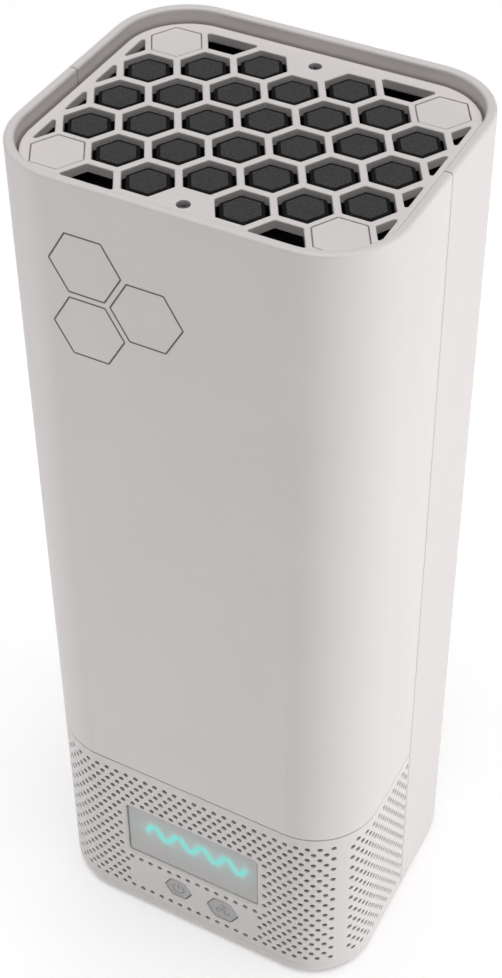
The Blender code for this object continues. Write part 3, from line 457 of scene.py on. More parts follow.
class IntakeBand:
    """The perforated lower front shell, on a lattice of half hole pitches by hole rows."""

    def __init__(self):
        self.work = bmesh.new()
        self.columns = band_columns()
        self.levels = [FIRST_ROW_Z + ROW_PITCH * (0.5 - row) for row in range(ROW_COUNT + 1)]
        self.right = (1, 1 + SIDE_HALF_STEPS)
        self.front = (self.right[1] + 1, self.right[1] + 1 + 2 * FRONT_HALF_STEPS)
        self.left = (self.front[1] + 1, self.front[1] + 1 + SIDE_HALF_STEPS)
        self.grid = {}
        for depth in (0.0, WALL):
            for column in range(len(self.columns)):
                for level, z in enumerate(self.levels):
                    self.grid[depth, column, level] = self.vertex(column, depth, z)

    def vertex(self, column, inset, z):
        point, normal, rounding = self.columns[column]
        spot = point - normal * max(inset, rounding)
        return self.work.verts.new((spot.x, spot.y, z))

    def spot_round(self, column, along, depth, z):
        """Vertex on the shell, a small distance along it from a column, in the columns' direction."""
        half = HOLE_PITCH / 2
        _, normal, _ = self.columns[column]
        if self.front[0] <= column <= self.front[1]:
            x = half * (FRONT_HALF_STEPS - (column - self.front[0]))
            point, normal = front_spot(x - along * abs(normal.y))
        elif column < self.front[0]:
            point, normal = side_spot(1, -half * (column - self.right[0]) - along * abs(normal.x))
        else:
            point, normal = side_spot(-1, -half * (self.left[1] - column) + along * abs(normal.x))
        spot = point - normal * depth
        return self.work.verts.new((spot.x, spot.y, z))

    def hole_ring(self, column, row, radius, depth):
        z = FIRST_ROW_Z - ROW_PITCH * row
        verts = []
        for i in range(HOLE_SIDES):
            a = 2 * math.pi * i / HOLE_SIDES
            verts.append(self.spot_round(column, radius * math.cos(a), depth, z + radius * math.sin(a)))
        return verts

    def tile(self, column, row):
        """One holed tile: two half pitches wide, from this column on."""
        middle = column + 1
        rings = [self.hole_ring(middle, row, HOLE_RADIUS + HOLE_CHAMFER, 0.0),
                 self.hole_ring(middle, row, HOLE_RADIUS, HOLE_CHAMFER),
                 self.hole_ring(middle, row, HOLE_RADIUS, HOLE_SKIN),
                 self.hole_ring(middle, row, HOLE_RELIEF, HOLE_SKIN + HOLE_CHAMFER),
                 self.hole_ring(middle, row, HOLE_RELIEF, WALL)]
        bridge_all(self.work, rings)
        round_tile = ((2, 0), (1, 0), (0, 0), (0, 1), (1, 1), (2, 1))   # the tile's six lattice points
        twelfth = HOLE_SIDES // 12
        for depth, hole in ((0.0, rings[0]), (WALL, rings[-1])):
            for i, (across, down) in enumerate(round_tile):
                across_next, down_next = round_tile[(i + 1) % 6]
                first, last = (2 * i + 1) * twelfth, (2 * i + 3) * twelfth
                arc = [hole[k % HOLE_SIDES] for k in range(last, first - 1, -1)]
                self.work.faces.new([self.grid[depth, column + across, row + down],
                                     self.grid[depth, column + across_next, row + down_next]] + arc)

    def plain(self, column, row):
        for depth in (0.0, WALL):
            self.work.faces.new([self.grid[depth, column + across, row + down]
                                 for across, down in ((0, 0), (1, 0), (1, 1), (0, 1))])

    def in_panel(self, column, row):
        """Whether a half-pitch step belongs to the window's or the keys' plain field."""
        middle = (self.front[0] + self.front[1]) / 2
        distance = abs(column + 0.5 - middle)
        beside_window = WINDOW_ROWS[0] <= row < WINDOW_ROWS[1] and distance < WINDOW_STEPS
        beside_keys = KEY_ROWS[0] <= row < KEY_ROWS[1] and distance < KEY_STEPS
        return beside_window or beside_keys

    def starts_tile(self, column, row, anchor, last):
        """Whether a holed tile starts here: every other column, one column further on in the next row."""
        on_lattice = (column - anchor + row) % 2 == 0
        return on_lattice and column + 2 <= last and not self.in_panel(column + 1, row)

    def make_row(self, row):
        for column in (0, self.right[1], self.front[1], self.left[1]):
            self.plain(column, row)
        for (first, last), anchor in ((self.right, self.right[0]), (self.front, self.front[0]),
                                      (self.left, self.left[1])):
            column = first
            while column < last:
                if self.in_panel(column, row):
                    column += 1
                elif self.starts_tile(column, row, anchor, last):
                    self.tile(column, row)
                    column += 2
                else:
                    self.plain(column, row)
                    column += 1

    def make_panel(self, rows, steps, openings):
        """Plain field with openings, each a list of (outline, depth) from the outer face inwards."""
        middle = (self.front[0] + self.front[1]) // 2
        first, last, upper, lower = middle - steps, middle + steps, rows[0], rows[1]
        border = [(column, upper) for column in range(first, last)]
        border += [(last, level) for level in range(upper, lower)]
        border += [(column, lower) for column in range(last, first, -1)]
        border += [(first, level) for level in range(lower, upper, -1)]
        faces = {depth: [[self.grid[(depth, *spot)] for spot in border]] for depth in (0.0, WALL)}
        for opening in openings:
            rings = []
            for outline, depth in opening:
                rings.append([self.work.verts.new((p.x, FRONT + depth, p.y)) for p in outline])
            bridge_all(self.work, rings)
            faces[0.0].append(rings[0])
            faces[WALL].append(rings[-1])
        for loops in faces.values():
            fill(self.work, loops, (0, 2))

    def close(self):
        """Foot, upper edge and lip, which join the outer to the inner face, and the two seam ends."""
        lip_outer, lip_inner = WALL + GAP, WALL + BAND_LIP[0]
        upper = [(SOFT * back, BAND_TOP - SOFT * down) for back, down in reversed(quarter_round(3))]
        upper += [(lip_outer, BAND_TOP), (lip_outer, LIP_TOP), (lip_inner, LIP_TOP),
                  (lip_inner, self.levels[0] + BAND_LIP[1])]
        lower = foot_profile()[::-1] + [(WALL, BAND_BOTTOM)]
        loops = []
        for column in range(len(self.columns)):
            outer = [self.grid[0.0, column, level] for level in range(ROW_COUNT + 1)]
            inner = [self.grid[WALL, column, level] for level in range(ROW_COUNT, -1, -1)]
            below = [self.vertex(column, inset, z) for inset, z in lower]
            above = [self.vertex(column, inset, z) for inset, z in reversed(upper)]
            loops.append((outer, below, inner, above))
        feet = [[outer[-1], *below, inner[0]] for outer, below, inner, above in loops]
        tops = [[inner[-1], *above, outer[0]] for outer, below, inner, above in loops]
        for column in range(len(loops) - 1):
            for one, two in (feet[column:column + 2], tops[column:column + 2]):
                for i in range(len(one) - 1):
                    self.work.faces.new((one[i], one[i + 1], two[i + 1], two[i]))
        for end in (loops[0], loops[-1]):
            self.work.faces.new([vert for part in end for vert in part])


def window_outline(inset):
    half_x, half_z = WINDOW_HALF
    return rounded_rectangle(half_x - inset, half_z - inset, WINDOW_RADIUS - inset, 5, (0, WINDOW_Z))


def key_outline(spec, margin):
    x, z, flats = spec
    return offset(rounded(hexagon(x, z, flats), KEY_CORNER, 5), margin)


def make_intake_band(material):
    band = IntakeBand()
    for row in range(ROW_COUNT):
        band.make_row(row)
    opening = [(offset(window_outline(0), out), depth) for out, depth in WINDOW_BEVEL]
    band.make_panel(WINDOW_ROWS, WINDOW_STEPS, [opening])
    edge = KEY_HOLE_EDGE
    bevel = ((edge, 0.0), (edge * 0.3, edge * 0.3), (0.0, edge), (0.0, WALL))
    band.make_panel(KEY_ROWS, KEY_STEPS, [[(key_outline(spec, GAP + out), depth) for out, depth in bevel]
                                          for spec in KEYS.values()])
    band.close()
    settle(piece("intake_band_shell", band.work, material), "housing", "casing", "intake_band")


# ---- outlet ----------
def is_open(column, half_row):
    """Whether a place of the honeycomb holds an open cell; rows are counted in half pitches."""
    if (column + half_row) % 2 == 0:
        return False
    corner_plug = abs(column) == 3 and abs(half_row) == 4
    screw_land = column == 0 and abs(half_row) == 5
    beyond_frame = abs(column) == 4 and abs(half_row) == 5
    return not (corner_plug or screw_land or beyond_frame)


def open_cells(columns, half_rows):
    """Middles of the open cells within a number of columns and half rows from the grille's middle."""
    for column in range(-columns, columns + 1):
        for half_row in range(-half_rows, half_rows + 1):
            if is_open(column, half_row):
                yield column * CELL_PITCH * math.sqrt(3) / 2, half_row * CELL_PITCH / 2


def cell_outlines():
    """Every open cell of the honeycomb, cut off where the grille's frame cuts it."""
    cells = []
    for x, y in open_cells(4, 5):
        cell = hexagon(x, y, CELL_PITCH - WEB)
        cell = clipped(clipped(cell, 0, GRILLE_FRAME[0]), 1, GRILLE_FRAME[1])
        cells.append(rounded(cell, CELL_CORNER, 3))
    return cells


def make_outlet_grille(material):
    work = bmesh.new()
    corner, depth = PLUG_POCKET
    pockets = [(rounded(hexagon(sx * POST[0], sy * POST[1], PLUG_FLATS + 2 * GAP), corner), depth)
               for sx, sy in CORNERS]
    radius, depth = SCREW_POCKET
    pockets += [(circle(0, side * MID_SCREW_Y, radius, 28), depth) for side in (-1, 1)]
    outline = body_outline(WALL + GRILLE_GAP)
    add_plate(work, outline, GRILLE_BOTTOM, GRILLE_TOP, CELL_EDGE, cell_outlines(), pockets)
    settle(piece("outlet_honeycomb", work, material), "housing", "casing", "outlet_grille")


def make_corner_plugs(material):
    for number, (sx, sy) in enumerate(CORNERS, 1):
        work = bmesh.new()
        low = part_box(f"corner_plug_{number}")[0].z
        outline = rounded(hexagon(sx * POST[0], sy * POST[1], PLUG_FLATS), PLUG_CORNER)
        add_plate(work, outline, low, GRILLE_TOP, PLUG_EDGE, steps=4)
        settle(piece(f"corner_cap_{number}", work, material), "housing", "casing", f"corner_plug_{number}")


def make_grille_screws(material):
    """Button-head screws with a six-sided socket, sunk in the grille."""
    for label, side in (("front", -1), ("rear", 1)):
        node = f"grille_screw_{label}"
        low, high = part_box(node)
        radius, head, edge = (high.x - low.x) / 2, 0.0008, 0.00035
        socket, socket_depth = 0.0011, 0.0005
        shank, shank_top = 0.0009, high.z - 0.0009
        work = bmesh.new()
        y = side * MID_SCREW_Y
        add_plate(work, circle(0, y, radius), high.z - head, high.z, edge,
                  pockets=[(hexagon(0, y, socket), socket_depth)])
        turned(work, [(0, low.z), (shank, low.z + shank), (shank, shank_top), (0, shank_top)], 16, (0, y))
        settle(piece(f"{node}_head", work, material), "housing", "steel", node)


def make_carbon_filter(carrier_painted_shade_material, pad_material):
    """The CAD panel, cut level below its pads, with a black tray and a foam pad in each whole cell; the
    near-black panel and tray rims are painted shade round the pads.
    """
    level = FILTER_PANEL_TOP - 0.0002
    shade_tray_bottom, shade_tray_top = level + 0.0001, FILTER_TOP - PAD_PROUD
    work = bmesh.new()
    work.from_mesh(frame["nodes"]["carbon_filter"].data)
    cut = bmesh.ops.bisect_plane(work, geom=work.verts[:] + work.edges[:] + work.faces[:], dist=1e-7,
                                 plane_co=(0, 0, level), plane_no=(0, 0, 1), clear_outer=True)
    rim = [item for item in cut["geom_cut"] if isinstance(item, bmesh.types.BMEdge)]
    bmesh.ops.contextual_create(work, geom=rim)
    pads = bmesh.new()
    for x, y in open_cells(3, 4):
        # black tray round each foam pad: its rim is painted shade between the foam and the web above
        add_plate(work, rounded(hexagon(x, y, PAD_FLATS), PAD_CORNER, 4), shade_tray_bottom, shade_tray_top, PAD_EDGE)
        foam = rounded(hexagon(x, y, FOAM_FLATS), PAD_CORNER, 4)
        add_plate(pads, foam, FILTER_TOP - 2 * PAD_PROUD, FILTER_TOP, PAD_PROUD * 2 / 3)
    settle(piece("carbon_filter_panel", work, carrier_painted_shade_material), "housing", "carbon", "carbon_filter")
    settle(piece("carbon_filter_pads", pads, pad_material), "housing", "carbon")


# ---- display and keys ----------
def make_display(material, glow_material):
    """The lens and the wave that shines on it: a plain generic sign in the place of lettering."""
    work = bmesh.new()
    add_plate(work, window_outline(GAP / 2), -LENS_BACK, -LENS_FACE - SKIN, LENS_EDGE, steps=5)
    settle(piece("display_lens", work, material, OUTWARD), "housing", "window", "display_window")
    count = 96
    line = []
    for i in range(count + 1):
        x = WAVE["start"] + (WAVE["end"] - WAVE["start"]) * i / count
        turn = 2 * math.pi * (x - WAVE["start"]) / WAVE["length"]
        line.append(Vector((x, WAVE["z"] + WAVE["height"] * math.sin(turn))))
    work = bmesh.new()
    add_plate(work, stroke(line, WAVE["width"]), -LENS_FACE - 2 * SKIN, -LENS_FACE)
    settle(piece("display_wave", work, glow_material, OUTWARD), "housing", "glow")


def arc_points(x, z, radius, first, last, steps=24):
    turn = [first + (last - first) * i / steps for i in range(steps + 1)]
    return [Vector((x + radius * math.cos(a), z + radius * math.sin(a))) for a in turn]


def power_icon(x, z, size):
    """Ring with a gap at its top, and a short upright bar in the gap."""
    gap = 0.6
    broken_ring = arc_points(x, z, size, math.pi / 2 + gap, math.pi * 5 / 2 - gap)
    return [broken_ring, [Vector((x, z + size * 0.25)), Vector((x, z + size * 1.1))]]


def fan_icon(x, z, size):
    """Three curved blades round a dot."""
    lines = [[Vector((x - size * 0.02, z)), Vector((x + size * 0.02, z))]]
    for blade in range(3):
        turn = Matrix.Rotation(2 * math.pi * blade / 3, 2)
        curve = arc_points(0, size * 0.70, size * 0.38, -math.pi / 2 - 0.3, math.pi * 0.75, 14)
        lines.append([Vector((x, z)) + turn @ point for point in curve])
    return lines


def make_keys(material, icon_material):
    icons = {"power": power_icon, "fan_speed": fan_icon}
    flange_wider, flange_depth = KEY_FLANGE
    step = -KEY_BACK + flange_depth
    for name, spec in KEYS.items():
        x, z, flats = spec
        body = "power_button" if name == "power" else "fan_speed_button"
        work = bmesh.new()
        add_plate(work, key_outline(spec, 0.0), step, -KEY_FACE - SKIN, KEY_EDGE, steps=4)
        add_plate(work, rounded(hexagon(x, z, flats + flange_wider), KEY_CORNER, 4), -KEY_BACK, step)
        settle(piece(f"{name}_cap", work, material, OUTWARD), body, "key", f"{name}_key")
        work = bmesh.new()
        for line in icons[name](x, z, flats * ICON_SIZE):
            add_plate(work, stroke(line, ICON_WIDTH), -KEY_FACE - 2 * SKIN, -KEY_FACE)
        settle(piece(f"{name}_icon", work, icon_material, OUTWARD), body)


def make_front_lines(material):
    """Three equal honeycomb cells, printed as thin outlines on the front cover."""
    x, z = PRINT_PLACE
    across = PRINT_PITCH * math.sqrt(3) / 2
    places = ((x, z), (x, z - PRINT_PITCH), (x + across, z - PRINT_PITCH / 2))
    for number, place in enumerate(places, 1):
        work = bmesh.new()
        outline = rounded(hexagon(*place, PRINT_FLATS), PRINT_CORNER, 3)
        outer, inner = offset(outline, PRINT_WIDTH / 2), offset(outline, -PRINT_WIDTH / 2)
        add_plate(work, outer, HALF_Y - 2 * SKIN, HALF_Y, holes=[inner])
        settle(piece(f"front_outline_{number}", work, material, OUTWARD), "housing")


# ---- socket and feet ----------
def make_power_socket(material):
    """Square body behind the wall, and a round nose in the wall with a bore and its centre pin."""
    low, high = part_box("power_socket")
    half, shoulder = (high.x - low.x) / 2, HALF_Y - WALL - GAP
    root = shoulder - 0.001
    nose, bore, pin, edge = 0.0048, 0.0031, 0.00105, 0.0003
    bore_end, pin_start = high.y - 0.0095, high.y - 0.0012
    work = bmesh.new()
    add_plate(work, rounded_rectangle(half, half, 0.0006, 3), low.y, shoulder, 0.0002)
    profile = [(0, root), (nose, root), (nose, high.y - edge), (nose - edge, high.y),
               (bore + edge, high.y), (bore, high.y - edge), (bore, bore_end), (pin, bore_end),
               (pin, pin_start - edge), (pin - edge, pin_start), (0, pin_start)]
    turned(work, profile, 48)
    to_rear = Matrix.Translation((0, 0, SOCKET_Z)) @ Matrix.Rotation(-math.pi / 2, 4, "X")
    settle(piece("power_socket_body", work, material, to_rear), "housing", "inner", "power_socket")


def make_feet(material):
    for number, (sx, sy) in enumerate(CORNERS, 1):
        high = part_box(f"foot_{number}")[1]
        radius, edge = high.x - sx * POST[0], 0.0006
        work = bmesh.new()
        profile = [(0, 0.0)] + [(radius - edge * back, edge * up) for back, up in quarter_round(4)]
        turned(work, profile + [(radius, high.z), (0, high.z)], 48, (sx * POST[0], sy * POST[1]))
        settle(piece(f"rubber_foot_{number}", work, material), "housing", "rubber", f"foot_{number}")


# ---- materials ----------
class Shader:
    """A node material under construction, with short calls for the nodes used here."""

    def __init__(self, name, color, roughness, metallic=0.0):
        self.material = bpy.data.materials.new(name)
        self.material.use_nodes = True
        self.tree = self.material.node_tree
        self.place = self.node("TexCoord").outputs["Object"]
        self.set(Base_Color=(*color, 1), Roughness=roughness, Metallic=metallic)

    def put(self, value, socket):
        """Links another node's output to a socket, or sets a constant on it."""
        if isinstance(value, bpy.types.NodeSocket):
            self.tree.links.new(value, socket)
        else:
            socket.default_value = value

    def put_all(self, node, sockets):
        """Values for a node's sockets, whose names have _ for each space."""
        for name, value in sockets.items():
            self.put(value, node.inputs[name.replace("_", " ")])
        return node

    def node(self, kind, **sockets):
        return self.put_all(self.tree.nodes.new("ShaderNode" + kind), sockets)

    def set(self, **sockets):
        self.put_all(self.tree.nodes["Principled BSDF"], sockets)

    def noise(self, scale, detail=3, rough=0.5, place=None):
        return self.node("TexNoise", Scale=scale, Detail=detail, Roughness=rough,
                         Vector=place or self.place).outputs["Fac"]

    def cells(self, scale):
        return self.node("TexVoronoi", Scale=scale, Vector=self.place).outputs["Distance"]

    def stretched(self, x, y, z):
        return self.node("Mapping", Scale=(x, y, z), Vector=self.place).outputs["Vector"]

    def math(self, operation, first, second=None):
        node = self.node("Math")
        node.operation = operation
        for socket, value in zip(node.inputs, (first, second)):
            if value is not None:
                self.put(value, socket)
        return node.outputs[0]

    def remap(self, source, low, high, to_low, to_high):
        return self.node("MapRange", Value=source, From_Min=low, From_Max=high, To_Min=to_low,
                         To_Max=to_high).outputs[0]

    def blend(self, factor, first, second):
        """Colour that goes from the first to the second as the factor goes from 0 to 1."""
        node = self.node("Mix")
        node.data_type = "RGBA"
        sockets = {socket.identifier: socket for socket in node.inputs}
        self.put(factor, sockets["Factor_Float"])
        for name, value in (("A_Color", first), ("B_Color", second)):
            self.put((*value, 1) if isinstance(value, tuple) else value, sockets[name])
        return next(socket for socket in node.outputs if socket.identifier == "Result_Color")

    def mottle(self, source, first, second, low=0.3, high=0.7):
        """Base colour that moves between two colours as the source goes from low to high."""
        color = self.blend(self.remap(source, low, high, 0, 1), first, second)
        self.set(Base_Color=color)
        return color

    def rough(self, source, low, high):
        self.set(Roughness=self.remap(source, 0.3, 0.7, low, high))

    def bump(self, *layers):
        """Bump layers of (height source, distance in metres), one on top of the other."""
        below = {}
        for source, distance in layers:
            node = self.node("Bump", Distance=distance, Height=source, **below)
            below = {"Normal": node.outputs["Normal"]}
        self.set(**below)


def shade(color, factor):
    return tuple(min(1.0, part * factor) for part in color)


def worn_edges(made, base, color, amount):
    """Mixes a colour over the base along the mesh's outward edges."""
    edge = made.remap(made.node("NewGeometry").outputs["Pointiness"], 0.52, 0.60, 0, amount)
    made.set(Base_Color=made.blend(edge, base, color))


def casing_material():
    """Moulded plastic with a fine eroded grain and a faint unevenness of tone."""
    color = (0.720, 0.685, 0.676)
    made = Shader("casing_plastic", color, 0.42)
    tone = made.noise(28, 4, 0.6)
    base = made.mottle(tone, shade(color, 0.985), shade(color, 1.015))
    worn_edges(made, base, (0.79, 0.76, 0.75), 0.35)
    grain, fine = made.noise(2600, 2), made.noise(6500, 1)
    made.rough(made.noise(900, 3), 0.40, 0.50)
    made.bump((grain, 0.000022), (fine, 0.000012))
    made.set(Specular_IOR_Level=0.42)
    return made.material


def key_material():
    color = (0.455, 0.455, 0.452)
    made = Shader("key_plastic", color, 0.45)
    base = made.mottle(made.noise(220, 3), shade(color, 0.95), shade(color, 1.05))
    worn_edges(made, base, shade(color, 1.25), 0.4)
    made.rough(made.noise(1500, 2), 0.38, 0.52)
    made.bump((made.noise(2600, 2), 0.000015))
    return made.material


def wave_glow(made):
    """How much light reaches the lens from the wave: most beside its line, some all round it."""
    split = made.node("SeparateXYZ", Vector=made.place).outputs
    x, z = split["X"], split["Z"]
    turn = made.math("MULTIPLY", made.math("SUBTRACT", x, WAVE["start"]), 2 * math.pi / WAVE["length"])
    height = made.math("MULTIPLY", made.math("SINE", turn), WAVE["height"])
    rise = made.math("SUBTRACT", z, WAVE["z"])
    above = made.math("ABSOLUTE", made.math("SUBTRACT", rise, height))
    steepest = WAVE["height"] * 2 * math.pi / WAVE["length"]
    slope = made.math("MULTIPLY", made.math("COSINE", turn), steepest)
    slant = made.math("SQRT", made.math("ADD", made.math("MULTIPLY", slope, slope), 1.0))
    away = made.math("DIVIDE", above, slant)
    middle, half = (WAVE["start"] + WAVE["end"]) / 2, (WAVE["end"] - WAVE["start"]) / 2
    from_middle = made.math("ABSOLUTE", made.math("SUBTRACT", x, middle))
    past_end = made.math("MAXIMUM", made.math("SUBTRACT", from_middle, half), 0.0)
    near = made.remap(made.math("ADD", away, past_end), 0.0, GLOW_REACH[0], 1, 0)
    broad = made.remap(made.math("ADD", made.math("ABSOLUTE", rise), past_end), 0.0, GLOW_REACH[1], 1, 0)
    near = made.math("MULTIPLY", made.math("POWER", near, 1.5), 0.65)
    broad = made.math("MULTIPLY", made.math("POWER", broad, 1.8), 0.35)
    return made.math("ADD", near, broad)


def lens_material():
    """Milky smoked lens, lit from behind along the wave."""
    made = Shader("window_plastic", (0.52, 0.52, 0.51), 0.30)
    halo = wave_glow(made)
    tint = made.noise(170, 2)
    cloudy = made.blend(made.remap(tint, 0.35, 0.65, 0, 1), (0.535, 0.515, 0.515), (0.500, 0.528, 0.505))
    # painted light: the wave's cyan glow is also mixed into the lens's base colour
    made.set(Base_Color=made.blend(made.math("MULTIPLY", halo, 0.75), cloudy, (0.34, 0.66, 0.64)))
    made.set(Emission_Color=(0.14, 0.62, 0.60, 1), Emission_Strength=made.math("MULTIPLY", halo, 0.42))
    made.rough(made.noise(300, 1), 0.28, 0.34)
    made.bump((made.noise(90, 1), 0.00004))
    return made.material


def glow_material():
    made = Shader("display_glow", (0.10, 0.30, 0.28), 0.40)
    patch = made.remap(made.noise(240, 2), 0.3, 0.7, 0, 1)
    made.set(Emission_Color=made.blend(patch, (0.24, 0.80, 0.80), (0.22, 0.86, 0.68)), Emission_Strength=0.55)
    return made.material


def print_material(name, color):
    """Screen-printed ink, a little uneven in tone."""
    made = Shader(name, color, 0.55)
    made.mottle(made.noise(1900, 3), shade(color, 0.85), shade(color, 1.25))
    made.rough(made.noise(2400, 2), 0.45, 0.65)
    made.bump((made.noise(2600, 2), 0.000015))
    return made.material


def carbon_material():
    """Granular carbon foam under a fine mesh."""
    made = Shader("carbon_panel", (0.045, 0.045, 0.043), 0.85)
    grains = made.cells(2600)
    made.mottle(grains, (0.062, 0.062, 0.060), (0.026, 0.026, 0.025), 0.1, 0.7)
    made.rough(made.noise(1200, 3), 0.75, 0.95)
    made.bump((grains, 0.00009), (made.noise(900, 4), 0.00012))
    return made.material


def carrier_painted_shade_material():
    """Carrier between the carbon pads, partly a dark part, painted near black as the shade round and between
    the pads.
    """
    # painted shade: the near-black colour stands in for the shadow round the carbon pads
    made = Shader("filter_carrier_painted_shade", (0.008, 0.008, 0.008), 0.8)
    made.set(Specular_IOR_Level=0.1)
    made.mottle(made.noise(400, 3), (0.006, 0.006, 0.006), (0.010, 0.010, 0.010))
    made.rough(made.noise(1200, 2), 0.7, 0.9)
    made.bump((made.noise(2600, 3), 0.00003))
    return made.material


def mesh_material():
    """Woven dust mesh: threads by two crossed waves."""
    made = Shader("dust_mesh", (0.030, 0.030, 0.031), 0.8)
    threads = []
    for axis in ("X", "Z"):
        node = made.node("TexWave", Scale=420, Vector=made.place)
        node.bands_direction = axis
        threads.append(node.outputs["Fac"])
    weave = made.math("MAXIMUM", *threads)
    made.mottle(weave, (0.018, 0.018, 0.019), (0.060, 0.060, 0.062), 0.2, 0.9)
    made.rough(made.noise(1500, 2), 0.7, 0.9)
    made.bump((weave, 0.00015))
    return made.material


def media_material():
    made = Shader("filter_paper", (0.78, 0.78, 0.75), 0.92)
    fibres = made.noise(1400, 5, 0.7, made.stretched(1, 0.25, 1))
    made.mottle(fibres, (0.72, 0.72, 0.69), (0.84, 0.84, 0.81))
    made.rough(fibres, 0.85, 0.98)
    made.bump((fibres, 0.00006))
    return made.material


def inner_material():
    made = Shader("inner_plastic", (0.030, 0.030, 0.032), 0.5)
    base = made.mottle(made.noise(90, 3), (0.024, 0.024, 0.026), (0.036, 0.036, 0.038))
    worn_edges(made, base, (0.075, 0.075, 0.078), 0.5)
    made.rough(made.noise(800, 3), 0.42, 0.62)
    made.bump((made.noise(2200, 3), 0.000025))
    return made.material


def board_material():
    """Green solder mask over straight copper tracks."""
    made = Shader("circuit_board", (0.02, 0.12, 0.06), 0.35)
    brick = made.node("TexBrick", Scale=260, Mortar_Size=0.10, Color1=(0.016, 0.105, 0.050, 1),
                      Color2=(0.022, 0.135, 0.064, 1), Mortar=(0.060, 0.240, 0.120, 1), Vector=made.place)
    made.set(Base_Color=brick.outputs["Color"])
    made.rough(made.noise(600, 2), 0.28, 0.42)
    made.bump((brick.outputs["Fac"], 0.00003))
    return made.material


def steel_material():
    made = Shader("screw_steel", (0.20, 0.20, 0.205), 0.35, 0.9)
    streaks = made.noise(3200, 3, 0.6, made.stretched(1, 1, 0.1))
    made.mottle(streaks, (0.15, 0.15, 0.155), (0.27, 0.27, 0.275))
    made.rough(streaks, 0.28, 0.46)
    made.bump((streaks, 0.000015))
    return made.material


def copper_material():
    made = Shader("motor_copper", (0.50, 0.27, 0.13), 0.4, 0.85)
    turns = made.noise(2400, 2, 0.5, made.stretched(0.1, 0.1, 1))
    made.mottle(turns, (0.38, 0.19, 0.08), (0.58, 0.33, 0.17))
    made.rough(turns, 0.30, 0.50)
    made.bump((turns, 0.00003))
    return made.material


def rubber_material():
    made = Shader("rubber", (0.022, 0.022, 0.022), 0.85)
    made.mottle(made.noise(300, 4), (0.017, 0.017, 0.017), (0.032, 0.032, 0.031))
    made.rough(made.noise(900, 3), 0.75, 0.95)
    made.bump((made.noise(1800, 4), 0.00004))
    return made.material


def diffuser_material():
    made = Shader("diffuser", (0.74, 0.75, 0.75), 0.6)
    made.mottle(made.noise(300, 3), (0.70, 0.71, 0.71), (0.78, 0.79, 0.79))
    made.rough(made.noise(900, 2), 0.5, 0.7)
    made.bump((made.noise(2500, 2), 0.00001))
    return made.material


def dress_cad_nodes(finishes):
    """Gives each CAD node the material of its slot; those that finer pieces replace are hidden anyway."""
    for part in frame["record"]["subparts"]:
        node = frame["nodes"][part["node"]]
        finish = finishes["mesh"] if part["node"] == "intake_mesh" else finishes[part["material_slot"]]
        node.data.materials.clear()
        node.data.materials.append(finish)


# ---- stage ----------
def make_floor():
    made = Shader("floor", (0.85, 0.85, 0.85), 0.8)
    made.mottle(made.noise(3, 3), (0.845, 0.845, 0.845), (0.855, 0.855, 0.855))
    made.set(Emission_Color=(1, 1, 1, 1), Emission_Strength=FLOOR_GLOW)
    mesh = bpy.data.meshes.new("floor")
    mesh.from_pydata([(sx * FLOOR_HALF, sy * FLOOR_HALF, 0) for sx, sy in CORNERS], [], [(0, 1, 2, 3)])
    mesh.materials.append(made.material)
    floor = bpy.data.objects.new("floor", mesh)
    bpy.context.scene.collection.objects.link(floor)


def add_sun(name, direction, strength, spread):
    """Broad, even light from a direction; the spread is its width in degrees."""
    light = bpy.data.lights.new(name, "SUN")
    light.energy, light.angle = strength, math.radians(spread)
    made = bpy.data.objects.new(name, light)
    made.rotation_euler = Vector(direction).to_track_quat("Z", "Y").to_euler()
    bpy.context.scene.collection.objects.link(made)


def add_card(name, place, size, power):
    """Upright soft light beside the object, which faces it and isn't seen itself."""
    light = bpy.data.lights.new(name, "AREA")
    light.shape, light.energy = "RECTANGLE", power
    light.size, light.size_y = size
    made = bpy.data.objects.new(name, light)
    made.location = place
    made.rotation_euler = Vector((place[0], place[1], 0)).to_track_quat("Z", "Y").to_euler()
    made.visible_camera = False
    bpy.context.scene.collection.objects.link(made)


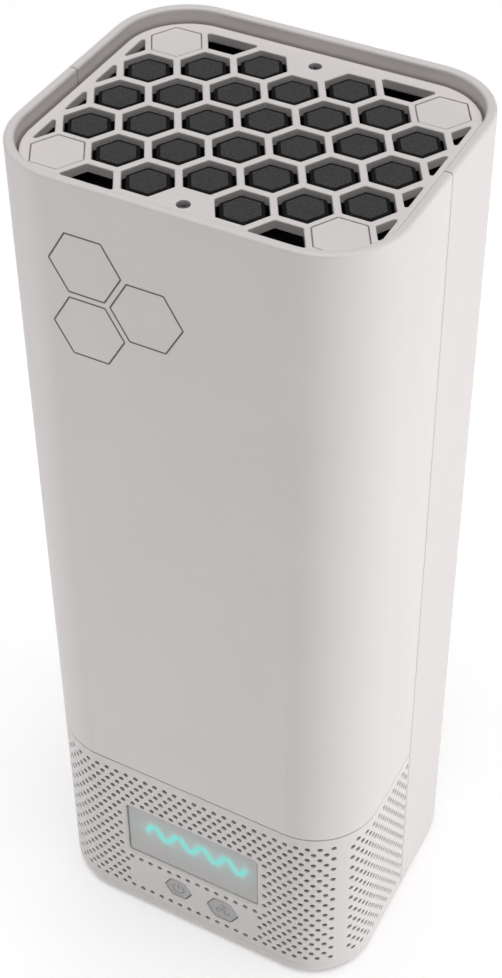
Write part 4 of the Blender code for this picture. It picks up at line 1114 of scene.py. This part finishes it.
def make_world():
    """Faint even light; looked at directly, it is a pale backdrop behind the floor's far edge."""
    world = bpy.data.worlds.new("studio")
    world.use_nodes = True
    tree = world.node_tree
    path = tree.nodes.new("ShaderNodeLightPath")
    strength = tree.nodes.new("ShaderNodeMapRange")
    strength.inputs["To Min"].default_value = WORLD_LIGHT
    strength.inputs["To Max"].default_value = WORLD_BACKDROP
    tree.links.new(path.outputs["Is Camera Ray"], strength.inputs["Value"])
    tree.links.new(strength.outputs["Result"], tree.nodes["Background"].inputs["Strength"])
    tree.nodes["Background"].inputs["Color"].default_value = (1.0, 1.0, 1.0, 1)
    bpy.context.scene.world = world


def make_lights():
    add_sun("overhead_light", **SUN)
    for name, card in CARDS.items():
        add_card(name, **card)


def make_camera():
    camera = bpy.data.cameras.new("camera")
    camera.lens, camera.sensor_width = CAMERA_LENS, 36.0
    camera.shift_x, camera.shift_y = 0.0, CAMERA_SHIFT_Y
    camera.clip_start, camera.clip_end = 0.05, 20.0
    made = bpy.data.objects.new("camera", camera)
    made.location = CAMERA_PLACE
    made.rotation_euler = [math.radians(a) for a in CAMERA_TURN]
    bpy.context.scene.collection.objects.link(made)
    bpy.context.scene.camera = made


def main():
    bpy.context.scene.view_settings.view_transform = "Standard"
    casing = casing_material()
    finishes = {
        "casing": casing,
        "key": key_material(),
        "window": lens_material(),
        "diffuser": diffuser_material(),
        "glow": glow_material(),
        "carbon": carbon_material(),
        "media": media_material(),
        "inner": inner_material(),
        "board": board_material(),
        "steel": steel_material(),
        "copper": copper_material(),
        "rubber": rubber_material(),
        "mesh": mesh_material(),
        "print": print_material("dark_print", (0.095, 0.092, 0.090)),
        "icon": print_material("key_print", (0.24, 0.24, 0.24)),
        # near-black carrier and trays: painted shade round the carbon pads
        "panel": carrier_painted_shade_material(),
    }
    dress_cad_nodes(finishes)
    make_front_cover(casing)
    make_rear_cover(casing)
    make_intake_band(casing)
    make_outlet_grille(casing)
    make_corner_plugs(casing)
    make_grille_screws(finishes["steel"])
    make_carbon_filter(finishes["panel"], finishes["carbon"])
    make_display(finishes["window"], finishes["glow"])
    make_keys(finishes["key"], finishes["icon"])
    make_front_lines(finishes["print"])
    make_power_socket(finishes["inner"])
    make_feet(finishes["rubber"])
    make_floor()
    make_world()
    make_lights()
    make_camera()


main()
